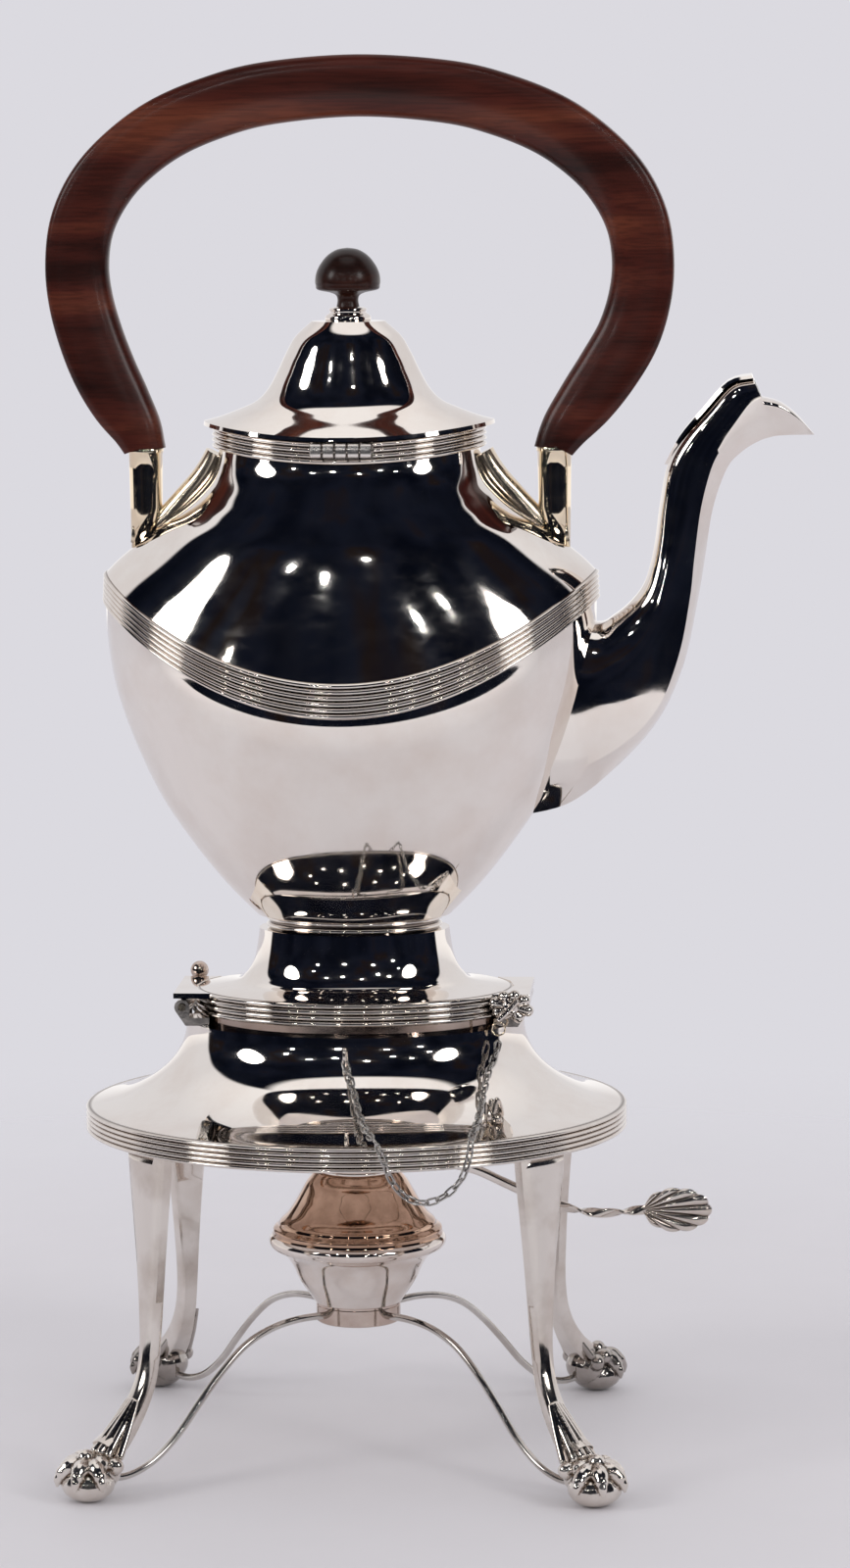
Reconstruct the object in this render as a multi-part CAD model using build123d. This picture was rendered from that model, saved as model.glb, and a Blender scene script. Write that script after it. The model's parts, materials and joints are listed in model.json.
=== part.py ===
from build123d import *
import os
from math import atan2, cos, dist, hypot, pi, radians, sin

# Spirit kettle on stand. Millimetres, +Z up. The origin is the middle of the table plane under the burner,
# +X points to the spout, and -Y is the front, where the lid hinge is.

# ---- Driving dimensions ----
OVAL_FACETS = 24            # facets round the large oval bodies
TURNED_FACETS = 16          # facets round the small turned pieces
SILVER = 1.0                # sheet thickness of body, foot, lid and stand
SEAT = 0.3                  # gap between curved pieces that move past each other
RUNNING = 0.05              # radial clearance of a pin in a turning bore

RIM_BOTTOM_Z = 94.2         # stand plate, lower edge of its reeded rim
PLATE_RIM_HEIGHT = 7.2
PLATE_A, PLATE_B = 78.0, 70.0     # stand plate, half length and half width over the reeds
STAND_NECK_HEIGHT = 24.2    # plate to the top of the stand's neck
STAND_TOP_A, STAND_TOP_B = 48.6, 34.0
COLLAR_HEIGHT = 2.6         # plain collar on the stand's neck
COLLAR_A, COLLAR_B = 44.3, 30.9
COLLAR_THICK = 2.6

FOOT_A, FOOT_B = 45.8, 32.2       # kettle foot, over its reeded rim
FOOT_RIM_HEIGHT = 6.8
FOOT_HEIGHT = 17.2          # brim to the neck collar
FOOT_NECK_A, FOOT_NECK_B = 27.3, 19.2
NECK_A, NECK_B = 24.2, 16.8
NECK_HEIGHT = 4.0
BEAD = 1.1                  # how far the neck collar's two beads stand out
BODY_BASE_A, BODY_BASE_B = 27.8, 19.2
BODY_A, BODY_B = 70.0, 48.3       # widest part of the kettle
BOWL_END_HEIGHT, BOWL_FRONT_HEIGHT = 90.6, 61.4     # base to the shoulder band, at the ends and at the front
BAND_END_HEIGHT, BAND_FRONT_HEIGHT = 8.2, 10.1
BAND_LEAN = 0.4
SHOULDER_END_HEIGHT, SHOULDER_FRONT_HEIGHT = 35.1, 59.0
MOUTH_A, MOUTH_B = 37.0, 25.9     # outside of the neck under the mouth rim
MOUTH_RIM_HEIGHT = 6.2
MOUTH_RIM_OUT = 2.0         # how far the reeded rim stands out from the neck
SHOULDER_REEDS, MOUTH_REEDS, FOOT_REEDS, PLATE_REEDS = 6, 4, 4, 5
REED_DEPTH = 1.0

LID_BRIM_A, LID_BRIM_B = 41.4, 28.6
LID_TOP_A, LID_TOP_B = 10.4, 8.6
LID_HEIGHT = 29.0           # brim to crown at the ends
BEZEL_DEPTH = 5.0           # lid's inner flange
BEZEL_GAP = 0.6
KNOB_R, KNOB_HEIGHT = 9.25, 16.5
KNOB_COLLAR_R, KNOB_COLLAR_HEIGHT = 6.5, 4.1
KNOB_SCREW_R, KNOB_SCREW_DEPTH = 1.1, 9.0
NUT_R, NUT_THICK = 3.2, 1.4

LID_BARREL_R, LID_PIN_R = 2.05, 0.75
LID_KNUCKLE = 3.5           # length of each knuckle
LID_KNUCKLES = 5
KNUCKLE_GAP = 0.1

HINGE_X = 48.5              # the two stand hinges, from the middle
HINGE_RISE = 2.8            # hinge axis above the stand's collar
HINGE_R, HINGE_PIN_R = 2.2, 1.1
HINGE_HALF = 15.0           # half length of a hinge along Y
KETTLE_KNUCKLE_HALF = 7.4
KNUCKLE_SPACE = 0.4
LUG_INNER_X, LUG_OUTER_X = 38.0, 50.9
PIN_TAIL = 0.8              # pin past the far knuckle
SHELL_HEAD = 5.9            # half length of the right pin's cast head
SHELL_INSET = 8.0           # hinge axis to the shell's root
BALL_HEAD_R = 2.9           # left pin's head

SOCKET_X = 58.2
SOCKET_DROP = 0.1           # top of the handle sockets under the mouth
SOCKET_BORE, SOCKET_LENGTH = 17.0, 32.0
SOCKET_TOP_R, SOCKET_WAIST_R, SOCKET_FOOT_R = 5.1, 4.7, 4.4
TENON_R = 4.0
STRAP_WIDTH = 7.0
HANDLE_RISE = 101.6         # sockets to the middle of the grip's crown
HANDLE_DEPTH, HANDLE_WIDTH = 17.8, 13.2
GRIP_END = 11.4             # grip across its ends, on the sockets
GRIP_BOW = 3.4              # how far the old grip leans towards the spout

SPOUT_REACH = 61.6          # body's widest line to the spout's tip
SPOUT_WALL = 1.0
HOOD_THICK = 0.9

BURNER_RING_R, BURNER_RING_WALL = 12.2, 1.2
BURNER_RING_BOTTOM_Z, BURNER_RING_HEIGHT = 36.9, 5.7
BURNER_FLANGE_R, BURNER_HEIGHT = 25.7, 18.0
FLANGE_THICK = 3.6
COVER_R, COVER_TOP_R, COVER_HEIGHT = 24.6, 12.4, 18.4
WICK_TUBE_R, WICK_TUBE_WALL, WICK_TUBE_RISE = 7.0, 1.0, 6.9
WICK_RISE, WICK_LENGTH = 0.9, 38.0
CAP_R, CAP_HEIGHT = 11.4, 9.8
STRIP_WIDTH, STRIP_THICK = 2.7, 1.1
LEAF_X, LEAF_Z = 83.4, 69.6
LEAF_LENGTH, LEAF_HALF, LEAF_THICK = 20.0, 6.6, 1.4

PAW_INSET_X, PAW_INSET_Y = 7.5, 4.5     # plate's edge to the middle of the paws
BACK_INSET = 4.4            # how much nearer together the back paws stand
LEG_TURN = 41.0             # where the legs meet the plate, in degrees round its oval
WIRE_R = 1.05

LINK_LENGTH, LINK_WIDTH, LINK_WIRE = 4.0, 2.1, 0.5
LINK_PLAY = 0.25
EYE_R, EYE_WIRE = 2.7, 0.55
STAPLE_R, STAPLE_WIRE = 2.1, 0.9

# ---- Heights that follow ----
RIM_TOP_Z = RIM_BOTTOM_Z + PLATE_RIM_HEIGHT
STAND_TOP_Z = RIM_TOP_Z + STAND_NECK_HEIGHT
FOOT_BOTTOM_Z = STAND_TOP_Z + COLLAR_HEIGHT
PAW_X, PAW_Y = PLATE_A - PAW_INSET_X, PLATE_B - PAW_INSET_Y
FOOT_TOP_Z = FOOT_BOTTOM_Z + FOOT_RIM_HEIGHT
NECK_Z = FOOT_TOP_Z + FOOT_HEIGHT
BODY_BASE_Z = NECK_Z + NECK_HEIGHT
BAND_END_Z, BAND_FRONT_Z = BODY_BASE_Z + BOWL_END_HEIGHT, BODY_BASE_Z + BOWL_FRONT_HEIGHT
BAND_TOP_END_Z, BAND_TOP_FRONT_Z = BAND_END_Z + BAND_END_HEIGHT, BAND_FRONT_Z + BAND_FRONT_HEIGHT
MOUTH_END_Z = BAND_TOP_END_Z + SHOULDER_END_HEIGHT
MOUTH_FRONT_Z = BAND_TOP_FRONT_Z + SHOULDER_FRONT_HEIGHT
RIM_END_Z, RIM_FRONT_Z = MOUTH_END_Z + MOUTH_RIM_HEIGHT, MOUTH_FRONT_Z + MOUTH_RIM_HEIGHT
LID_END_Z, LID_FRONT_Z = RIM_END_Z + SEAT, RIM_FRONT_Z + SEAT
LID_CROWN_Z = LID_END_Z + LID_HEIGHT
KNOB_Z = LID_CROWN_Z + KNOB_COLLAR_HEIGHT
HINGE_Z = FOOT_BOTTOM_Z + HINGE_RISE
LUG_BOTTOM_Z = HINGE_Z + HINGE_R + SEAT
LID_AXIS_Y = -(LID_BRIM_B + 0.2)
LID_AXIS_Z = RIM_FRONT_Z - LID_BARREL_R - 0.15
SOCKET_TOP_Z = MOUTH_END_Z - SOCKET_DROP
SOCKET_BORE_Z = SOCKET_TOP_Z - SOCKET_BORE
BURNER_RING_TOP_Z = BURNER_RING_BOTTOM_Z + BURNER_RING_HEIGHT
FLANGE_Z = BURNER_RING_TOP_Z + BURNER_HEIGHT
COVER_Z = FLANGE_Z + FLANGE_THICK / 2
CAP_Z = COVER_Z + COVER_HEIGHT
WICK_TUBE_TOP_Z = CAP_Z + WICK_TUBE_RISE


# ---- Solids from rows of points ----
def facet(*points):
    return Face(Wire.make_polygon([Vector(*p) for p in points], close=True))


def patch(a, b, c, d):
    """One face through four points, or two where they don't lie flat, cut along the shorter diagonal."""
    corner, *rest = [Vector(*p) for p in (a, b, c, d)]
    normal = (rest[0] - corner).cross(rest[1] - corner)
    if normal.length > 1e-9 and abs((rest[2] - corner).dot(normal.normalized())) < 1e-6:
        return [facet(a, b, c, d)]
    if dist(a, c) <= dist(b, d):
        return [facet(a, b, c), facet(a, c, d)]
    return [facet(a, b, d), facet(b, c, d)]


def skin(loops, ring=False):
    """A closed solid through loops of points: a ring joins its last loop to its first, others get flat ends."""
    faces = [] if ring else [facet(*loops[0]), facet(*loops[-1])]
    pairs = zip(loops, loops[1:] + loops[:1]) if ring else zip(loops, loops[1:])
    for low, high in pairs:
        for i in range(len(low)):
            faces += patch(low[i - 1], low[i], high[i], high[i - 1])
    return Solid(Shell(faces))


def oval(a, b, end_z, front_z=None, facets=OVAL_FACETS):
    """An oval row of points that swoops from end_z at its ends to front_z at front and back."""
    low = end_z if front_z is None else front_z
    turns = [2 * pi * i / facets for i in range(facets)]
    return [(a * cos(t), b * sin(t), low + (end_z - low) * cos(t) ** 2) for t in turns]


def rows(table):
    return [oval(*row) for row in table]


def turned(table, x=0.0, facets=TURNED_FACETS):
    """Round rows of points about a vertical line at x, from a profile of radii and heights."""
    return [[(x + px, py, pz) for px, py, pz in oval(r, r, z, facets=facets)] for r, z in table]


def post(radius, low, high, x=0.0, facets=TURNED_FACETS):
    return skin(turned([(radius, low), (radius, high)], x, facets))


def between(low, high, shares):
    """Rows on the way from a low row to a high one: how far in along each half axis, and how far up."""
    return [tuple(p + (q - p) * s for p, q, s in zip(low, high, share)) for share in shares]


def inside(table, wall, drop=0.0):
    """The rows of a wall's inner face, from the rows of its outer face."""
    return [(a - wall, b - wall, *[z - drop for z in heights]) for a, b, *heights in table]


def reeds(bottom, top, count):
    """Rows of a reeded face between two rows, with a groove under each crest."""
    table = []
    for i in range(count):
        for share, out in ((0.0, 0.0), (0.5, REED_DEPTH)):
            a, b, *z = [p + (q - p) * (i + share) / count for p, q in zip(bottom, top)]
            table.append((a + out, b + out, *z))
    return table + [top]


def rod(start, end, radius):
    """A round pin or bore."""
    axis = Vector(*end) - Vector(*start)
    return Solid.make_cylinder(radius, axis.length, Plane(origin=start, z_dir=axis))


def bar(start, end, radius, facets=12):
    """A cast knuckle or boss, with flat facets."""
    axis = Vector(*end) - Vector(*start)
    return extrude(Plane(origin=start, z_dir=axis) * RegularPolygon(radius, facets), axis.length)


def block(x0, x1, y0, y1, z0, z1):
    return Pos((x0 + x1) / 2, (y0 + y1) / 2, (z0 + z1) / 2) * Box(abs(x1 - x0), abs(y1 - y0), abs(z1 - z0))


def slab(points, y0, y1):
    """A plate between two Y values, from an outline of (x, z) points."""
    return Solid.extrude(facet(*[(x, y0, z) for x, z in points]), Vector(0, y1 - y0, 0))


# ---- Kettle body ----
BOWL_BASE = (BODY_BASE_A, BODY_BASE_B, BODY_BASE_Z, BODY_BASE_Z)
BAND_LOW = (BODY_A, BODY_B, BAND_END_Z, BAND_FRONT_Z)
BAND_HIGH = (BODY_A - BAND_LEAN, BODY_B - BAND_LEAN, BAND_TOP_END_Z, BAND_TOP_FRONT_Z)
MOUTH_LOW = (MOUTH_A, MOUTH_B, MOUTH_END_Z, MOUTH_FRONT_Z)
BOWL_ROWS = between(BOWL_BASE, BAND_LOW, [
    (0, 0, 0, 0), (0.21, 0.21, 0.10, 0.14), (0.43, 0.43, 0.23, 0.31), (0.64, 0.64, 0.378, 0.50),
    (0.82, 0.82, 0.56, 0.70), (0.94, 0.94, 0.73, 0.845), (0.99, 0.99, 0.88, 0.95), (1, 1, 1, 1),
])
SHOULDER_ROWS = between(BAND_HIGH, MOUTH_LOW, [
    (0, 0, 0, 0), (0.11, 0.11, 0.10, 0.175), (0.295, 0.26, 0.24, 0.386), (0.49, 0.435, 0.39, 0.59),
    (0.663, 0.615, 0.51, 0.725), (0.80, 0.77, 0.625, 0.82), (0.915, 0.896, 0.75, 0.90),
    (0.975, 0.968, 0.878, 0.954), (1, 1, 1, 1),
])


def bowl():
    floor = (BODY_BASE_A - SILVER, BODY_BASE_B - SILVER, BODY_BASE_Z + SILVER)
    inner = inside(BOWL_ROWS[:0:-2], SILVER)
    return skin(rows(BOWL_ROWS + inner + [floor]))


def shoulder_band():
    back = inside([BAND_HIGH, BAND_LOW], SILVER)
    return skin(rows(reeds(BAND_LOW, BAND_HIGH, SHOULDER_REEDS) + back), ring=True)


def shoulder():
    return skin(rows(SHOULDER_ROWS + inside(SHOULDER_ROWS, SILVER)[::-1]), ring=True)


def body_block():
    """The kettle's outer form, closed, to trim what sits on it."""
    cap = (MOUTH_A, MOUTH_B, RIM_END_Z)
    return skin(rows(BOWL_ROWS + SHOULDER_ROWS + [cap]))


def mouth_rim():
    a, b = MOUTH_A + MOUTH_RIM_OUT - REED_DEPTH, MOUTH_B + MOUTH_RIM_OUT - REED_DEPTH
    face = reeds((a, b, MOUTH_END_Z, MOUTH_FRONT_Z), (a, b, RIM_END_Z, RIM_FRONT_Z), MOUTH_REEDS)
    a, b = MOUTH_A - SILVER, MOUTH_B - SILVER
    inner = [(a, b, RIM_END_Z, RIM_FRONT_Z), (a, b, MOUTH_END_Z, MOUTH_FRONT_Z), MOUTH_LOW]
    return skin(rows(face + inner), ring=True) - hinge_notch()


# ---- Lid hinge ----
NOTCH_BACK_Y = -(MOUTH_B + 0.3)
NOTCH_FLOOR_Z = LID_AXIS_Z - LID_BARREL_R - SEAT


def hinge_notch():
    half = LID_KNUCKLES * LID_KNUCKLE / 2 + KNUCKLE_GAP
    return block(-half, half, LID_AXIS_Y - LID_BARREL_R, NOTCH_BACK_Y, NOTCH_FLOOR_Z, LID_FRONT_Z + MOUTH_RIM_HEIGHT)


def knuckle_spans(first):
    """The X spans of every other knuckle of the lid hinge, from the left."""
    start = -LID_KNUCKLES * LID_KNUCKLE / 2
    edges = [start + LID_KNUCKLE * i for i in range(LID_KNUCKLES)]
    return [(x + KNUCKLE_GAP / 2, x + LID_KNUCKLE - KNUCKLE_GAP / 2) for x in edges[first::2]]


def on_lid_axis(x):
    return (x, LID_AXIS_Y, LID_AXIS_Z)


def rim_knuckles():
    parts = []
    for x0, x1 in knuckle_spans(0):
        foot = block(x0, x1, LID_AXIS_Y, NOTCH_BACK_Y, NOTCH_FLOOR_Z, LID_AXIS_Z)
        knuckle = bar(on_lid_axis(x0), on_lid_axis(x1), LID_BARREL_R) + foot
        parts.append(knuckle - bar(on_lid_axis(x0), on_lid_axis(x1), LID_PIN_R / cos(pi / 12)))
    return parts


def lid_knuckles():
    front_y = LID_AXIS_Y - LID_PIN_R
    parts = []
    for x0, x1 in knuckle_spans(1):
        arm = block(x0, x1, front_y, -(LID_BRIM_B - SILVER), LID_AXIS_Z, LID_FRONT_Z)
        knuckle = bar(on_lid_axis(x0), on_lid_axis(x1), LID_BARREL_R) + arm
        parts.append(knuckle - rod(on_lid_axis(x0), on_lid_axis(x1), LID_PIN_R + RUNNING))
    return parts


def lid_hinge_pin():
    half = LID_KNUCKLES * LID_KNUCKLE / 2
    return rod(on_lid_axis(-half), on_lid_axis(half), LID_PIN_R)


# ---- Kettle foot ----
BRIM = (FOOT_A - 1.2, FOOT_B - 1.2, FOOT_TOP_Z)
FOOT_ROWS = between((FOOT_NECK_A, FOOT_NECK_B, NECK_Z), BRIM, [
    (0, 0, 0), (0.05, 0.05, 0.36), (0.12, 0.13, 0.60), (0.24, 0.25, 0.78), (0.42, 0.46, 0.91), (1, 1, 1),
])


def neck_collar():
    a, b = NECK_A, NECK_B
    shares = ((0.0, 0.0), (0.22, BEAD), (0.45, 0.0), (0.55, 0.0), (0.78, BEAD), (1.0, 0.0))
    outer = [(a + out, b + out, NECK_Z + NECK_HEIGHT * up) for up, out in shares]
    wall = [(a - 2 * SILVER, b - 2 * SILVER, z) for z in (BODY_BASE_Z, NECK_Z)]
    return skin(rows(outer + wall), ring=True)


def kettle_foot():
    lip = (NECK_A - 2 * SILVER, NECK_B - 2 * SILVER)
    under = [(BRIM[0], BRIM[1], FOOT_TOP_Z - SILVER)] + inside(FOOT_ROWS[1:-1], SILVER, SILVER * 0.6)[::-1]
    return skin(rows([(*lip, NECK_Z)] + FOOT_ROWS + under + [(*lip, NECK_Z - SILVER)]), ring=True)


def foot_rim():
    a, b = FOOT_A - REED_DEPTH, FOOT_B - REED_DEPTH
    face = reeds((a, b, FOOT_BOTTOM_Z), (a, b, FOOT_TOP_Z), FOOT_REEDS)
    a, b = BRIM[0] - SILVER, BRIM[1] - SILVER
    seat = [BRIM, (BRIM[0], BRIM[1], FOOT_TOP_Z - SILVER), (a, b, FOOT_TOP_Z - SILVER), (a, b, FOOT_BOTTOM_Z)]
    return skin(rows(face + seat), ring=True)


def foot_block():
    return skin(rows([(FOOT_A, FOOT_B, FOOT_BOTTOM_Z), (FOOT_A, FOOT_B, FOOT_TOP_Z + SEAT)]))


def kettle_lug(side):
    """A rectangular lug on the kettle's foot, with one knuckle under its outer edge. The left knuckle is open
    below, so the kettle tips on the right hinge once the left pin is out."""
    x, reach = side * HINGE_X, HINGE_HALF
    lug = block(side * LUG_INNER_X, side * LUG_OUTER_X, -reach, reach, LUG_BOTTOM_Z, FOOT_TOP_Z) - foot_block()
    half = KETTLE_KNUCKLE_HALF
    web = block(x - HINGE_R * 0.7, x + HINGE_R * 0.7, -half, half, HINGE_Z, LUG_BOTTOM_Z)
    bore = HINGE_PIN_R + (RUNNING if side > 0 else SEAT)
    lug = lug + bar((x, -half, HINGE_Z), (x, half, HINGE_Z), HINGE_R) + web
    lug = lug - rod((x, -half, HINGE_Z), (x, half, HINGE_Z), bore)
    if side < 0:
        lug = lug - block(x - bore, x + bore, -half, half, HINGE_Z - HINGE_R, HINGE_Z)
    return lug


# ---- Spout ----
# Each station, in shares of the spout's reach from the end of the body's widest line: the inner edge (x, z), the
# outer edge (x, z) and the half width along Y. Then where the side's crease lies between the edges, and how far
# the side has drawn in there.
SPOUT = [
    (-0.195, -0.062, -0.422, -1.019, 0.221, 0.73, 0.78), (0.002, -0.114, -0.138, -0.955, 0.214, 0.78, 0.80),
    (0.083, -0.078, 0.107, -0.765, 0.195, 0.87, 0.80), (0.151, -0.023, 0.289, -0.554, 0.172, 0.91, 0.78),
    (0.209, 0.049, 0.401, -0.304, 0.149, 0.88, 0.76), (0.242, 0.136, 0.464, -0.019, 0.13, 0.85, 0.80),
    (0.269, 0.256, 0.498, 0.182, 0.114, 0.80, 0.86), (0.292, 0.432, 0.536, 0.416, 0.101, 0.78, 0.88),
    (0.328, 0.614, 0.601, 0.597, 0.102, 0.74, 0.88), (0.399, 0.744, 0.672, 0.675, 0.106, 0.66, 0.88),
    (0.503, 0.867, 0.747, 0.721, 0.109, 0.54, 0.90), (0.615, 0.987, 0.805, 0.74, 0.109, 0.44, 0.92),
    (0.719, 1.013, 0.834, 0.745, 0.104, 0.36, 0.95),
]
BEAK = [
    (0.757, 0.924, 0.834, 0.745, 0.102, 0.25, 0.95), (0.839, 0.901, 0.899, 0.748, 0.088, 0.25, 0.95),
    (0.914, 0.846, 0.951, 0.748, 0.063, 0.25, 0.95), (0.99, 0.76, 1, 0.748, 0.019, 0.25, 0.95),
]
HOOD_WIDTHS = (0.006, 0.055, 0.091, 0.107, 0.11)


def spout_edges(station):
    ix, iz, ox, oz = [SPOUT_REACH * share for share in station[:4]]
    return (BODY_A + ix, BAND_END_Z + iz), (BODY_A + ox, BAND_END_Z + oz)


def spout_loop(station, wall=0.0, open_top=0.0):
    """One eight-sided section: round on its inner side, creased where its side turns in to the keel."""
    (ix, iz), (ox, oz) = spout_edges(station)
    half, crease, fold = station[4] * SPOUT_REACH, station[5], station[6]
    skip = wall / hypot(ox - ix, oz - iz)
    shape = [(skip - open_top, 0.55), (crease * 0.38, 1.0), (crease - skip * 0.5, fold), (1 - skip, 0.2)]
    side = [(ix + (ox - ix) * t, (half - wall) * k, iz + (oz - iz) * t) for t, k in shape]
    return side + [(x, -y, z) for x, y, z in side[::-1]]


def spout():
    outer = skin([spout_loop(s) for s in SPOUT]) + skin([spout_loop(s) for s in BEAK])
    hollow = skin([spout_loop(s, SPOUT_WALL) for s in SPOUT])
    trough = skin([spout_loop(s, SPOUT_WALL, open_top=0.6) for s in BEAK[:3]])
    return outer - hollow - trough - body_block()


def spout_hood():
    """A flat plate over the spout's throat, with a pointed tail down its back."""
    loops = []
    for station, width in zip(SPOUT[-5:], HOOD_WIDTHS):
        (ix, iz), (ox, oz) = spout_edges(station)
        half = width * SPOUT_REACH
        length = hypot(ox - ix, oz - iz)
        nx, nz = HOOD_THICK * (ix - ox) / length, HOOD_THICK * (iz - oz) / length
        loops.append([(ix, -half, iz), (ix, half, iz), (ix + nx, half, iz + nz), (ix + nx, -half, iz + nz)])
    return skin(loops)


# ---- Handle ----
# Each station of the wooden bail's right half: how far out and up its middle lies, and how full its depth is.
BAIL = [
    (1.0, 0.0, 0.0), (1.05, 0.056, 0.4), (1.137, 0.128, 0.82), (1.227, 0.212, 1.0), (1.308, 0.308, 1.03),
    (1.36, 0.413, 1.0), (1.375, 0.514, 0.97), (1.348, 0.62, 1.0), (1.267, 0.717, 1.03), (1.138, 0.802, 1.0),
    (0.945, 0.883, 1.0), (0.704, 0.942, 0.98), (0.43, 0.981, 0.97), (0.0, 1.0, 0.94),
]
GRIP_SECTION = ((0.0, 0.82), (0.1, 1.0), (0.58, 0.96), (1.0, 0.36))


def grip_path(side):
    """Middle points of one half of the grip, up from its socket. The old wood bows towards the spout."""
    return [(side * SOCKET_X * x + GRIP_BOW * min(1.0, 3 * z), SOCKET_TOP_Z + HANDLE_RISE * z) for x, z, _ in BAIL]


def handle_grip():
    path = grip_path(1) + grip_path(-1)[-2::-1]
    last = len(path) - 1
    loops = []
    for i, ((x, z), (_, _, full)) in enumerate(zip(path, BAIL + BAIL[-2::-1])):
        ahead, behind = path[min(i + 1, last)], path[max(i - 1, 0)]
        tilt = pi * (i // last) if i in (0, last) else atan2(ahead[0] - behind[0], ahead[1] - behind[1])
        depth = GRIP_END + (HANDLE_DEPTH - GRIP_END) * full
        half = (GRIP_END + (HANDLE_WIDTH - GRIP_END) * min(full, 1.0)) / 2
        side = [(x + depth * (0.5 - t) * cos(tilt), half * k, z - depth * (0.5 - t) * sin(tilt))
                for t, k in GRIP_SECTION]
        loops.append(side + [(px, -py, pz) for px, py, pz in side[::-1]])
    grip = skin(loops)
    for x in (-SOCKET_X, SOCKET_X):
        grip = grip + post(TENON_R, SOCKET_BORE_Z + SEAT, SOCKET_TOP_Z, x)
    return grip


# The strap's outline: share of the way from the mouth out to the socket, share of the shoulder's height down.
STRAP = [
    (0.81, 0.385), (0.6, 0.305), (0.335, 0.19), (0.17, 0.075), (0.115, 0.0), (-0.09, 0.0), (-0.09, 0.51),
    (0.81, 0.79),
]


def handle_socket(side):
    """A tapered tube with a strap that runs over the shoulder to the mouth rim."""
    x, top = side * SOCKET_X, SOCKET_TOP_Z
    profile = [(SOCKET_FOOT_R, top - SOCKET_LENGTH), (SOCKET_WAIST_R, SOCKET_BORE_Z), (SOCKET_TOP_R, top - 1.2),
               (SOCKET_TOP_R, top)]
    tube = skin(turned(profile, x))
    run = SOCKET_X - MOUTH_A
    outline = [(side * (MOUTH_A + run * out), MOUTH_END_Z - SEAT - SHOULDER_END_HEIGHT * down) for out, down in STRAP]
    strap = slab(outline, -STRAP_WIDTH / 2, STRAP_WIDTH / 2)
    return tube + strap - post(TENON_R, SOCKET_BORE_Z, top, x) - body_block()


# ---- Lid ----
LID_BRIM = (LID_BRIM_A, LID_BRIM_B, LID_END_Z, LID_FRONT_Z)
LID_ROWS = between(LID_BRIM, (LID_TOP_A, LID_TOP_B, LID_CROWN_Z, LID_CROWN_Z), [
    (0, 0, 0, 0), (0.006, 0.01, 0.038, 0.034), (0.145, 0.135, 0.076, 0.098), (0.335, 0.32, 0.152, 0.19),
    (0.487, 0.46, 0.228, 0.276), (0.594, 0.565, 0.345, 0.399), (0.684, 0.655, 0.517, 0.564),
    (0.758, 0.735, 0.683, 0.718), (0.852, 0.835, 0.855, 0.871), (1, 1, 1, 1),
])


def lid():
    inner = inside(LID_ROWS[2:6] + LID_ROWS[7:-1], SILVER, SILVER * 0.5)
    under = (inner[0][0], inner[0][1], LID_END_Z, LID_FRONT_Z)
    top = (LID_TOP_A - SILVER * 0.6, LID_TOP_B - SILVER * 0.6, LID_CROWN_Z - SILVER)
    return skin(rows(LID_ROWS[::-1] + [under] + inner + [top])) - screw_hole()


def screw_hole():
    return post(KNOB_SCREW_R, LID_CROWN_Z - SILVER - NUT_THICK, KNOB_Z + KNOB_SCREW_DEPTH)


def lid_bezel():
    a, b = MOUTH_A - SILVER - BEZEL_GAP, MOUTH_B - SILVER - BEZEL_GAP
    low, front = RIM_END_Z - BEZEL_DEPTH, RIM_FRONT_Z - BEZEL_DEPTH
    outer = [(a, b, low, front), (a, b, LID_END_Z, LID_FRONT_Z)]
    return skin(rows(outer + inside(outer, SILVER)[::-1]), ring=True)


def knob_collar():
    profile = [(1.0, 0.0), (1.0, 0.35), (0.8, 0.6), (0.83, 0.85), (0.52, 1.0)]
    table = [(KNOB_COLLAR_R * out, LID_CROWN_Z + KNOB_COLLAR_HEIGHT * up) for out, up in profile]
    return skin(turned(table)) - screw_hole()


def knob():
    profile = [(0.35, 0.0), (0.33, 0.16), (0.48, 0.22), (0.93, 0.29), (1.0, 0.38), (0.97, 0.52), (0.83, 0.7),
               (0.55, 0.88), (0.17, 1.0)]
    return skin(turned([(KNOB_R * out, KNOB_Z + KNOB_HEIGHT * up) for out, up in profile])) - screw_hole()


def knob_screw():
    return screw_hole()


def knob_nut():
    low = LID_CROWN_Z - SILVER - NUT_THICK
    return Pos(0, 0, low) * extrude(RegularPolygon(NUT_R, 6), NUT_THICK) - screw_hole()


# ---- Stand ----
PLATE = (PLATE_A - 1.8, PLATE_B - 1.8, RIM_TOP_Z)
STAND_TOP = (STAND_TOP_A, STAND_TOP_B, STAND_TOP_Z)
DOME_ROWS = between(PLATE, STAND_TOP, [
    (0, 0, 0), (0.3, 0.3, 0.10), (0.55, 0.555, 0.24), (0.732, 0.737, 0.388), (0.859, 0.86, 0.541),
    (0.942, 0.94, 0.70), (0.986, 0.982, 0.85), (1, 1, 1),
])
DOME_UNDER = inside(DOME_ROWS[:6] + DOME_ROWS[7:], SILVER, SILVER * 0.7)


def stand_dome():
    under = DOME_UNDER[:-1] + [(STAND_TOP_A - SILVER, STAND_TOP_B - SILVER, STAND_TOP_Z - SILVER)]
    a, b = COLLAR_A - COLLAR_THICK, COLLAR_B - COLLAR_THICK
    shelf = [(a, b, STAND_TOP_Z), (a, b, STAND_TOP_Z - SILVER)]
    return skin(rows(DOME_ROWS + shelf + under[::-1]), ring=True)


def stand_rim():
    a, b = PLATE_A - REED_DEPTH, PLATE_B - REED_DEPTH
    face = reeds((a, b, RIM_BOTTOM_Z), (a, b, RIM_TOP_Z), PLATE_REEDS)
    seat = DOME_UNDER[0]
    return skin(rows(face + [PLATE, seat, (seat[0], seat[1], RIM_BOTTOM_Z)]), ring=True)


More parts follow.
